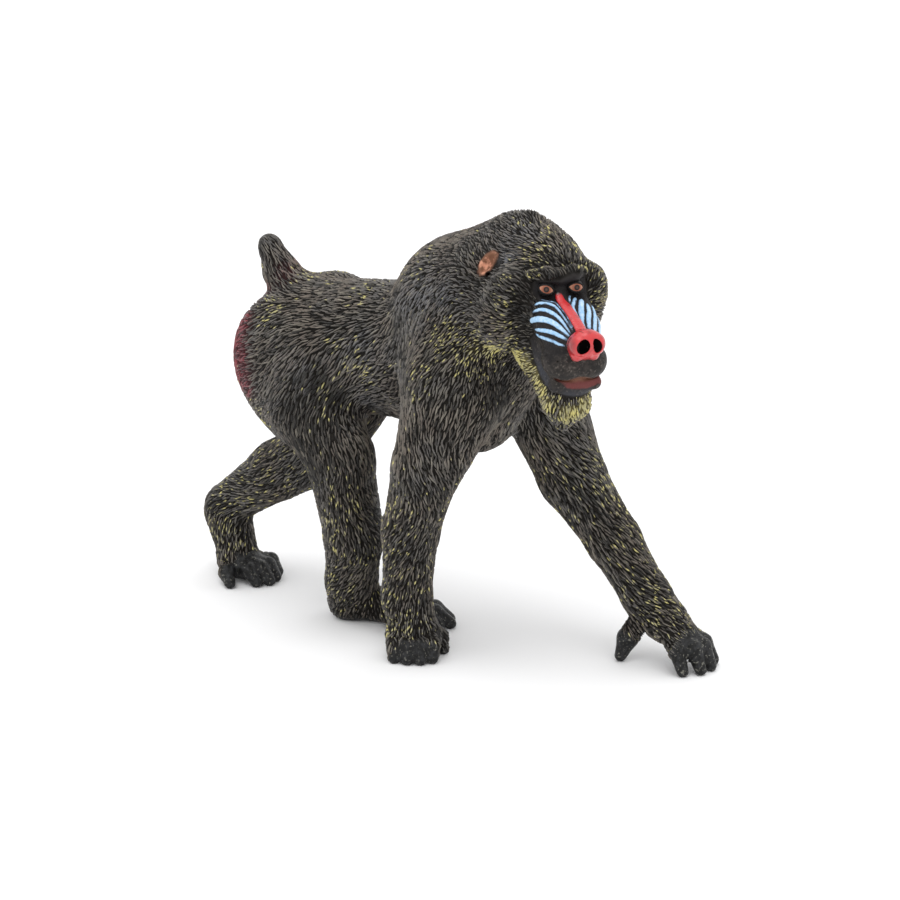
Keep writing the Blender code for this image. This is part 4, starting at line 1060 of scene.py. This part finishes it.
def triangleCorners(piece):
    piece.data.calc_loop_triangles()
    corners = np.empty(len(piece.data.loop_triangles) * 3, np.int32)
    piece.data.loop_triangles.foreach_get("vertices", corners)
    return corners.reshape(-1, 3)


def nearness(places, centres, radii):  # 0 at the nearest centre and 1 at the radii round it
    return np.min([np.linalg.norm((places - centre) / radii, axis=1) for centre in centres], axis=0)


def bothSides(place):
    return [mirrored(place, side) for side in (-1, 1)]


mouthPath = ((7.2, 4.7, -6.15), (12.0, 2.9, -5.6), (13.2, 0, -5.4))  # on the head's left side
cheekSpots = (  # blue on the cheeks and chin: (place on the head, reach, share)
    ((4.6, 4.2, -5.6), 1.6, 0.1), ((6.0, 4.4, -7.6), 2.0, 0.45), ((8.6, 4.2, -8.3), 2.0, 1.0),
    ((11.0, 3.0, -9.2), 2.0, 1.0), ((13.0, 0.8, -9.0), 1.8, 1.0),
)
cheekPlaces = [(skull.at(*there), reach, share)
               for place, reach, share in cheekSpots for there in bothSides(place)]


def blackShare(places):  # black round the eyes, between the ridges, along the fur and at the mouth's corners
    local = skull.local(places)
    forward, _, up = local.T
    eyes = smooth((1.15 - nearness(local, bothSides((0.6, 2.4, 0.4)), (3.2, 2.5, 1.7))) * 2.5)
    corners = smooth((1.0 - nearness(local, bothSides((8.0, 4.5, -6.7)), (1.5, 1.2, 0.5))) * 1.5)
    onRidges = 0.75 * smooth(up + 3.9) * smooth(forward - 1.2) * smooth((11.2 - forward) / 0.6)
    beside = smooth((3.2 - forward) / 1.2) * smooth(0.7 - up)
    edge = 0.9 * smooth((1.3 - faceDepth(places)) / 1.6) * smooth((up + 7.0) / 1.6) * (up < 1.6)
    return np.max([eyes, corners, onRidges, beside, edge], axis=0)


def mouthShare(places):  # the pale line between the lips
    local = skull.local(places)
    away = np.full(len(places), farAway)
    for side in (-1, 1):
        for a, b in zip(mouthPath, mouthPath[1:]):
            a, b = mirrored(a, side), mirrored(b, side)
            share = np.clip(((local - a) @ (b - a)) / ((b - a) @ (b - a)), 0, 1)
            away = np.minimum(away, np.linalg.norm(local - a - share[:, None] * (b - a), axis=1))
    return smooth((0.6 - away) / 0.3) * smooth((local[:, 2] + 6.1 + 0.12 * (local[:, 0] - 9)) / 0.2)


def lipShare(places):  # the red of the lower lip, shorter on the right side
    forward, left, up = skull.local(places).T
    bend = np.where(left > 0, 0.04, 0.09) * left ** 2
    away = np.hypot(forward - 12.35 + bend, up + 6.75)
    return smooth((1.1 - away) / 0.5) * smooth((3.6 - np.abs(left - 0.4)) / 0.5)


def earHollows(places):
    total = np.zeros(len(places))
    for side in (-1, 1):
        out, back, up = earAxes(side).local(places).T
        hole = np.sqrt(((back + 1.05 * side) / 0.4) ** 2 + ((up + 0.55) / 0.46) ** 2)
        total = np.maximum(total, smooth((1.1 - hole) * 3) * (out > -0.8) * (out < 2.2))
    return total


def markSkin(skin, places, fur):
    forward, _, up = skull.local(places).T
    bare = bareFace(places)
    brow = smooth((up - 0.9) / 0.8) * smooth(1.6 - forward)
    yellow, rose = spread(places, yellowPlaces) * fur, spread(places, rosePlaces) * fur
    paintPoints(skin, "zones", bare, blackShare(places) * bare, earShare(places))
    paintPoints(skin, "touches", lipShare(places) * bare, bareDigits(places), spread(places, earBrushAndSheenPlaces))
    paintPoints(skin, "marks", earHollows(places), yellow, rose)
    paintPoints(skin, "face", mouthShare(places) * bare, spread(places, cheekPlaces), brow)


clay = pressBody()
print("clay pressed:", clay.field.shape)
skin = thinned(meshPiece("skin", *clay.surface(), skinPaint()), skinSettings["mostTriangles"])
surface = vertexPlaces(skin)
fur = furShare(surface)
moved = surface - clay.outward(surface) * (coatSettings["depth"] * fur)[:, None]
onSole = surface[:, 2] < skinSettings["soleHeight"]
moved[:, 2] = np.where(onSole, surface[:, 2], np.maximum(moved[:, 2], 0.0))
skin.data.vertices.foreach_set("co", toModel(moved).astype(np.float32).ravel())
skin.data.update()
markSkin(skin, surface, fur)
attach(skin, "root")
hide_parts(*[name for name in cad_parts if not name.startswith("eye")])
print("skin made:", len(surface), "points")


# The coat over the skin: where its strokes stand, how each is painted, and one piece for each region

def plantRoots(draw):  # places for the strokes, side by side, with their ways and share of the head
    spots = pickSpots(surface, triangleCorners(skin), coatSettings["spots"], draw)
    spots = spots[(furShare(spots) > coatSettings["leastFur"]) & (spots[:, 2] > coatSettings["leastHeight"])]
    away = np.linalg.norm(spots - skull.at(*coatSettings["headCentre"]), axis=1)
    headShare = smooth((coatSettings["headReach"] - away) / coatSettings["headFade"])
    ways = combed(spots)
    kept = combedRoots(spots, ways, onBoth("along", headShare), onBoth("across", headShare))
    return spots[kept], ways[kept], headShare[kept]


def yellowMarks(roots, headShare, draw):  # yellow along each stroke, and how densely each place is painted
    painted = spread(roots, yellowPlaces)
    dense = smooth((painted - 0.72) / 0.2)
    chance = (1.45 + 0.8 * headShare) * painted + np.where(roots[:, 2] < coatSettings["limbTop"], 0.15, 0.02)
    strong = draw.random(len(roots)) < np.clip(chance, 0, 1)
    start = draw.integers(0, strokeRings, len(roots))
    patch = np.clip(1.3 - 0.6 * np.abs(np.arange(strokeRings) - start[:, None]), 0, 1)
    patch = dense[:, None] + (1 - dense[:, None]) * patch
    return patch * (strong * draw.uniform(0.55, 1.0, len(roots)))[:, None], dense


def ridgeTones(roots, onLimb, draw):  # how light the top of each stroke is, along it
    # painted shade darkens the strokes in the folds and under the head
    shade = spread(roots, paintedShadePlaces)
    besideFace = smooth((faceDepth(roots) + 1.7) / 1.8) * smooth((skull.local(roots)[:, 2] + 7.5) / 2)
    tone = draw.uniform(0.55, 1.25, len(roots)) * (1 - 0.55 * shade)
    tone = tone * (1 - 0.35 * besideFace) * (1 - 0.16 * onLimb)
    return tone[:, None] * point(0.85, 1, 1, 1, 0.85)


draw = np.random.default_rng(coatSettings["seed"])
roots, ways, headShare = plantRoots(draw)
print("strokes rooted:", len(roots))
strokes = growStrokes(roots, ways, headShare, draw)
overEar = np.maximum(earShare(strokes[:, strokeMiddle]), earShare(strokes[:, -1]))
clear = overEar < coatSettings["mostEar"]
roots, strokes, headShare = roots[clear], strokes[clear], headShare[clear]
onLimb = smooth((coatSettings["limbTop"] - roots[:, 2]) / 4)
yellow, dense = yellowMarks(roots, headShare, draw)
yellowSides = 0.3 + 0.45 * dense - 0.12 * onLimb
worn = draw.random(len(roots)) ** 4
tone = ridgeTones(roots, onLimb, draw)
rose, brushAndSheenShare = spread(roots, rosePlaces), spread(roots, paleBrushAndSheenPlaces)
region = lieAt(roots)[1]
normals = clay.outward(roots)
coatMaterial = coatPaint()
for index, name in enumerate(regionNames):
    mine = region == index
    starts = strokeCorners * np.arange(mine.sum())[:, None, None]
    faces = (strokeTriangles() + starts).reshape(-1, 3)
    piece = meshPiece("coat_" + name, strokes[mine].reshape(-1, 3), faces, coatMaterial)
    marks = [alongStroke(tone[mine], 0, 0.3), alongStroke(yellow[mine], yellowSides[mine, None], 0.5)]
    paintPoints(piece, "marks", *[mark.ravel() for mark in marks], rose[mine].repeat(strokeCorners))
    paintPoints(piece, "touches", *[mark[mine].repeat(strokeCorners) for mark in (brushAndSheenShare, worn)])
    bakeMap(piece, roots[mine], normals[mine], faces)
    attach(piece, "root")
    print("coat of the", name, "has", len(starts), "strokes and", len(faces), "triangles")


# Painted forms of the face, pressed finer than the skin: red nose and bridge, blue ridges, eyelids

faceSettings = {"step": 0.11, "margin": 0.8}  # of the finer clay, and round its shapes


def finePiece(name, shapes, material, cutters=()):
    low = np.min([shape[1] for shape in shapes], axis=0) - faceSettings["margin"]
    high = np.max([shape[2] for shape in shapes], axis=0) + faceSettings["margin"]
    block = Clay([gridLine(a, b, faceSettings["step"]) for a, b in zip(low, high)])
    for shape in [*shapes, *cutters]:
        block.press([shape])
    places, faces = block.surface()
    piece = meshPiece(name, places, faces, material)
    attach(piece, "root")
    print(name, "has", 2 * len(faces), "triangles")
    return piece


def settledPath(controls, count, height):
    # A smooth path through places of the head, laid on the clay.
    places = np.array([skull.at(*place) for place in controls])
    ends = np.concatenate([2 * places[:1] - places[1:2], places, 2 * places[-1:] - places[-2:-1]])
    path = []
    for t in np.linspace(0, len(places) - 1 - 1e-6, count):
        i = int(t)
        a, b, c, d = ends[i:i + 4]
        t = t - i
        path.append(b + 0.5 * t * (c - a + t * (2 * a - 5 * b + 4 * c - d + t * (3 * (b - c) + d - a))))
    return clay.settle(np.array(path), height, 5)


def redPaint():
    paint = Paint("red nose paint, glossy", 0.3, 0.5)
    paint.shader.inputs["Coat Roughness"].default_value = 0.2
    hole, faded, low = paint.masks("holes")
    base = paint.mix(paint.steps(paint.noise(0.8, 3), 0.5, 0.8), colours["red"], colours["redDark"])
    # painted shade under the nose and on its sides
    base = paint.mix(low, base, colours["redShade"])
    base = paint.mix(faded, base, colours["bareBlack"])
    paint.feed(paint.shader.inputs["Coat Weight"], paint.math("MULTIPLY_ADD", hole, -0.6, 0.6))
    paint.feed(paint.shader.inputs["Specular IOR Level"], paint.math("MULTIPLY_ADD", hole, -0.45, 0.45))
    paint.bump(paint.noise(0.35, 3), 0.09)
    return paint.colour(paint.mix(hole, base, colours["nostril"]))


noseSettings = {
    "stripe": ((1.0, -0.45, 0.3), (2.4, -0.5, 0.2), (3.6, -0.4, 0.35), (5.4, -0.2, 0.6), (7.6, -0.05, 0.8),
               (10.2, 0, 1.0)),
    "stripeHeight": -0.14,  # of its middle line over the muzzle
    "stations": 26,
    "pad": (11.5, -0.1, 0.2),
    "padRadii": (1.93, 2.72, 2.5),
    "wings": [(12.0, 1.25 * side - 0.1, 0.7) for side in (-1, 1)],
    "wingRadii": (1.55, 1.5, 1.75),
    "nostrils": {-1: (0.95, -0.05), 1: (0.6, 0.2)},  # half width, and how far inward it stands
}


def noseStripe():
    count = noseSettings["stations"]
    bridge = settledPath(noseSettings["stripe"], count, noseSettings["stripeHeight"])
    widths = np.interp(np.linspace(0, 1, count), [0, 0.14, 1], [0.2, 0.27, 0.31])
    return [bar(a, b, ra, rb, 0.1, flat=(skull.left, 2.7))
            for a, b, ra, rb in zip(bridge, bridge[1:], widths, widths[1:])]


def markNose(piece, holes):
    places = vertexPlaces(piece)
    local = skull.local(places)
    forward, left, up = local.T
    inside = np.max([smooth((0.12 - hole[0](*places.T)) / 0.15) for hole in holes], axis=0)
    wings = nearness(local, noseSettings["wings"], noseSettings["wingRadii"])
    pad = nearness(local, [noseSettings["pad"]], noseSettings["padRadii"])
    inside *= smooth((0.93 - np.minimum(wings, pad)) / 0.06)
    # painted shade: darker red low on the pad and on its sides
    low = 0.75 * np.maximum(smooth((-1.1 - up) / 1.2), smooth((np.abs(left + 0.1) - 2.3) / 0.8))
    paintPoints(piece, "holes", inside, smooth((1.6 - forward) / 0.7), low * (forward > 10.2))


def redNose():
    shapes = [*noseStripe(), lump(noseSettings["pad"], noseSettings["padRadii"], 0.5)]
    holes, creases = [], []
    for side, wing in zip((-1, 1), noseSettings["wings"]):
        shapes.append(lump(wing, noseSettings["wingRadii"], 0.15))
        shapes.append(lump((12.3, 1.3 * side - 0.1, -1.0), (0.95, 0.9, 0.95), 0.3))
        wide, inward = noseSettings["nostrils"][side]
        place = headPlace("nostril", side) - (0, inward * side, 0)
        holes.append(lump(place, (1.6, wide, 1.12), 0.12, headPlace("nostrilWay", side), cut=True))
        # a crease behind each wing
        crease = ((10.8, 2.4 * side, 1.6), (11.15, 2.8 * side, 0.2), (11.6, 2.35 * side, -1.5))
        creases += [groove(a, b, 0.14, 0.3) for a, b in zip(crease, crease[1:])]
    notch = roll((13.75, -0.05, -0.1), (13.1, -0.05, -2.6), 0.12, 0.42, 0.3, cut=True)
    piece = finePiece("red_nose", shapes, redPaint(), [*holes, notch, *creases])
    markNose(piece, holes)


ridgeSettings = {"stations": 13, "height": -0.06, "thin": 0.72, "flat": 1.4}  # flat is width over height
ridgeLines = {  # by side: each ridge's places on the head, from its outer end in, and its half width
    -1: (
        (((1.7, -3.6, -0.2), (2, -2.4, 0), (3.2, -1.35, 0.1), (5.1, -0.95, 0.4), (8.2, -0.95, 0.6)), 0.22),
        (((2.0, -4.3, -0.9), (2.5, -3.5, 0.0), (3.6, -2.1, 0.2), (5.4, -1.35, 0.3), (8.6, -1.15, 0.5)), 0.3),
        (((2.7, -4.7, -1.6), (3.6, -3.8, -0.3), (4.9, -2.8, 0.1), (6.6, -1.95, 0.2), (9.1, -1.5, 0.3)), 0.34),
        (((3, -4.8, -3.2), (3.7, -4.8, -2.2), (5, -4.2, -0.8), (6.9, -3, 0), (9.6, -1.95, 0.1)), 0.46),
        (((4.9, -4.7, -2.9), (6.3, -4.4, -1.7), (7.6, -3.7, -0.8), (9, -3, -0.3), (10.2, -2.4, 0.1)), 0.34),
        (((5, -4.6, -3.7), (6.4, -4.6, -2.9), (8, -4.1, -1.9), (9.4, -3.4, -1.2), (10.6, -2.75, -0.7)), 0.3),
    ),
    1: (
        (((1.5, 1.3, 0.0), (2.2, 0.9, 0.2), (3.2, 0.45, 0.3)), 0.26),
        (((1.7, 2.1, 0.0), (2.8, 1.4, 0.1), (4.2, 0.75, 0.4), (6.4, 0.65, 0.6)), 0.36),
        (((2.5, 2.6, 0.1), (3.6, 2.2, 0.2), (5.2, 1.6, 0.3), (7.0, 1.2, 0.5), (8.8, 1.0, 0.6)), 0.44),
        (((3.6, 3.1, 0.1), (5.2, 2.8, 0.1), (7.0, 2.1, 0.2), (9.2, 1.5, 0.4)), 0.38),
        (((3.4, 4.0, -0.6), (5.4, 3.7, -0.4), (7.6, 2.9, -0.1), (9.7, 2.0, 0.1)), 0.38),
        (((3.4, 4.8, -2.2), (5.6, 4.5, -1.6), (7.8, 3.8, -1.0), (10.2, 2.5, -0.2)), 0.42),
        (((5.0, 4.7, -3.6), (6.6, 4.6, -2.8), (8.6, 3.9, -1.8), (10.6, 2.75, -0.8)), 0.34),
    ),
}


def bluePaint():
    paint = Paint("sky blue ridge paint", 0.42, 0.4)
    crest = paint.masks("crest", 1)[0]
    streak = paint.steps(paint.noise(0.5, 3), 0.36, 0.64)
    base = paint.mix(paint.times(crest, streak), colours["sky"], colours["skyPale"])
    foot = paint.steps(paint.math("MULTIPLY_ADD", crest, -1.0, paint.noise(0.6, 3)), 0.12, 0.42)
    return paint.colour(paint.mix(foot, base, colours["skyGroove"]))


def blueRidges(side):
    shapes = []
    count, thin = ridgeSettings["stations"], ridgeSettings["thin"]
    taper = np.interp(np.linspace(0, 1, count), [0, 0.12, 0.5, 0.85, 1], [0.5, 0.88, 1.04, 0.84, 0.55])
    for controls, half in ridgeLines[side]:
        path = settledPath(controls, count, ridgeSettings["height"])
        widths = half * taper
        for a, b, ra, rb in zip(path, path[1:], widths, widths[1:]):
            across = np.cross(clay.outward(a[None])[0], b - a)
            shapes.append(bar(a, b, thin * ra, thin * rb, 0.05, flat=(across, ridgeSettings["flat"])))
    piece = finePiece("blue_ridges_" + sideNames[side], shapes, bluePaint())
    paintPoints(piece, "crest", np.clip(clay.sample(vertexPlaces(piece)) / 0.3, 0, 1))


redNose()
for side in (-1, 1):
    blueRidges(side)


# Eyes: balls with a painted iris and pupil, in an almond of lids

eyeSettings = {
    "radius": 1.15,
    "look": {-1: (0.72, -0.36, 0.60), 1: (0.78, -0.10, 0.60)},
    "rings": 24,
    "segments": 40,
    "opening": (1.1, 0.66),  # half width and half height
    "lid": 0.12,
    "lidReach": 1.17,  # from the eye's middle
    "lidPoints": 25,
}


def eyePaint():
    paint = Paint("eye paint, glossy", 0.3, 0.3)
    place = paint.tree.nodes.new("ShaderNodeUVMap")
    place.uv_map = "gaze"
    seen = place.outputs["UV"]
    reach = paint.times(paint.vector("DISTANCE", seen, (0.5, 0.5, 0))["Value"], 2.0)
    squashed = paint.vector("MULTIPLY_ADD", seen, (1.0, 1.55, 0), (-0.5, -0.775, 0))["Vector"]
    rim = paint.times(paint.vector("LENGTH", squashed)["Value"], 2.0)
    # the pupil's brown middle, lighter than its black ring, is also a painted highlight
    pupil = paint.mix(paint.steps(reach, 0.12, 0.2), colours["pupilMiddleGlint"], colours["pupil"])
    iris = paint.mix(paint.steps(reach, 0.45, 0.8), colours["irisInner"], colours["iris"])
    base = paint.mix(paint.steps(reach, 0.33, 0.4), pupil, iris)
    return paint.colour(paint.mix(paint.steps(rim, 0.86, 0.97), base, colours["bareBlack"]))


def lidPaint():
    paint = Paint("dark lid paint", 0.5, 0.2)
    paint.bump(paint.noise(0.3, 2), 0.03, 0.5)
    mottle = paint.steps(paint.noise(0.7, 3), 0.42, 0.72)
    return paint.colour(paint.mix(mottle, colours["lid"], colours["bareBlack"]))


def eyeball(axes):  # rings of points from the pupil back, and the triangles between them
    rings, segments, radius = (eyeSettings[name] for name in ("rings", "segments", "radius"))
    places = [axes.at(radius)]
    for ring in range(1, rings):
        tilt = math.pi * ring / rings
        spoke = math.sin(tilt) * radius
        for segment in range(segments):
            turn = 2 * math.pi * segment / segments
            places.append(axes.at(math.cos(tilt) * radius, spoke * math.cos(turn), spoke * math.sin(turn)))
    places.append(axes.at(-radius))
    last = len(places) - 1
    triangles = []
    for segment in range(segments):
        after = (segment + 1) % segments
        triangles.append((0, 1 + segment, 1 + after))
        for row in range(1, 1 + (rings - 2) * segments, segments):
            triangles.append((row + segment, row + segments + segment, row + segments + after))
            triangles.append((row + segment, row + segments + after, row + after))
        row = last - segments
        triangles.append((row + segment, last, row + after))
    return np.array(places), np.array(triangles)


def makeEye(side, material):
    axes = Axes(skull.at(*headPlace("eye", side)), skull.turn(*eyeSettings["look"][side]), skull.up)
    places, triangles = eyeball(axes)
    piece = meshPiece("eyeball_" + sideNames[side], places, triangles, material)
    forward, *across = axes.local(places).T
    flat = np.stack(across, axis=1) / eyeSettings["radius"]
    flat = np.where(forward[:, None] < 0, unit(flat), flat)
    layer = piece.data.uv_layers.new(name="gaze")
    layer.uv.foreach_set("vector", (0.5 + 0.5 * flat[triangles.ravel()]).astype(np.float32).ravel())
    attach(piece, "root")
    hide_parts("eye_" + sideNames[side])
    return axes


def eyelids(axes, side, material):
    wide, high = eyeSettings["opening"]
    lid, reach = eyeSettings["lid"], eyeSettings["lidReach"]
    path = []
    for turn in np.linspace(0, 2 * math.pi, eyeSettings["lidPoints"]):
        across, over = wide * math.cos(turn), high * math.sin(turn) * (1 - 0.3 * abs(math.cos(turn)) ** 3)
        path.append(axes.at(math.sqrt(reach ** 2 - across ** 2 - over ** 2), across, over))
    shapes = [bar(a, b, lid, lid, 0.1) for a, b in zip(path, path[1:])]
    finePiece("eyelids_" + sideNames[side], shapes, material)


lidMaterial = lidPaint()
eyeMaterial = eyePaint()
for side in (-1, 1):
    eyelids(makeEye(side, eyeMaterial), side, lidMaterial)
print("eyes made")


# Floor, light and camera

stageSettings = {
    "floorSize": 6.0,
    "floorTone": (0.93, 0.93, 0.935),
    "azimuth": 38.0,
    "elevation": 17.5,
    "distance": 600.0,
    "aim": (0.0, -6.594, 33.0),
    "lens": 160.8,
    "sky": 1.12,
    "lightAim": (0, 0, 0.03),
}


def makeFloor():
    half = stageSettings["floorSize"] / 2
    mesh = bpy.data.meshes.new("floor")
    corners = [(-half, -half, 0), (half, -half, 0), (half, half, 0), (-half, half, 0)]
    mesh.from_pydata(corners, [], [(0, 1, 2, 3)])
    floor = bpy.data.objects.new("floor", mesh)
    scene.collection.objects.link(floor)
    paint = Paint("plain pale floor", 0.7, 0.2)
    mesh.materials.append(paint.colour(stageSettings["floorTone"]))


def stand(name, data, axes):  # puts a light or camera in the scene, to look back along the axes
    holder = bpy.data.objects.new(name, data)
    scene.collection.objects.link(holder)
    matrix = np.eye(4)
    matrix[:3, :3] = np.stack([axes.left, axes.up, axes.forward], axis=1)
    matrix[:3, 3] = axes.origin
    holder.matrix_world = Matrix(matrix.tolist())
    return holder


def softLight(name, place, size, power):
    light = bpy.data.lights.new(name, "AREA")
    light.shape = "DISK"
    light.size = size
    light.energy = power
    stand(name, light, Axes(place, np.subtract(place, stageSettings["lightAim"])))


def makeWorld():
    world = bpy.data.worlds.new("studio")
    world.use_nodes = True
    backdrop = world.node_tree.nodes["Background"]
    backdrop.inputs["Color"].default_value = (1.0, 1.0, 1.0, 1)
    backdrop.inputs["Strength"].default_value = stageSettings["sky"]
    scene.world = world


def makeCamera():
    azimuth, elevation = (math.radians(stageSettings[name]) for name in ("azimuth", "elevation"))
    level = math.cos(elevation)
    back = point(math.sin(azimuth) * level, -math.cos(azimuth) * level, math.sin(elevation))
    place = toModel(point(*stageSettings["aim"])) + back * stageSettings["distance"] * millimetre
    camera = bpy.data.cameras.new("camera")
    camera.lens = stageSettings["lens"]
    camera.sensor_width = 36
    camera.clip_start = 0.01
    camera.clip_end = 20
    scene.camera = stand("camera", camera, Axes(place, back))


makeFloor()
makeWorld()
softLight("overhead soft box", (0.12, -0.25, 1.1), 0.9, 3.9)
softLight("front fill", (0.9, -1.1, 0.7), 0.7, 1.2)
makeCamera()
scene.view_settings.view_transform = "Standard"
print("stage set")
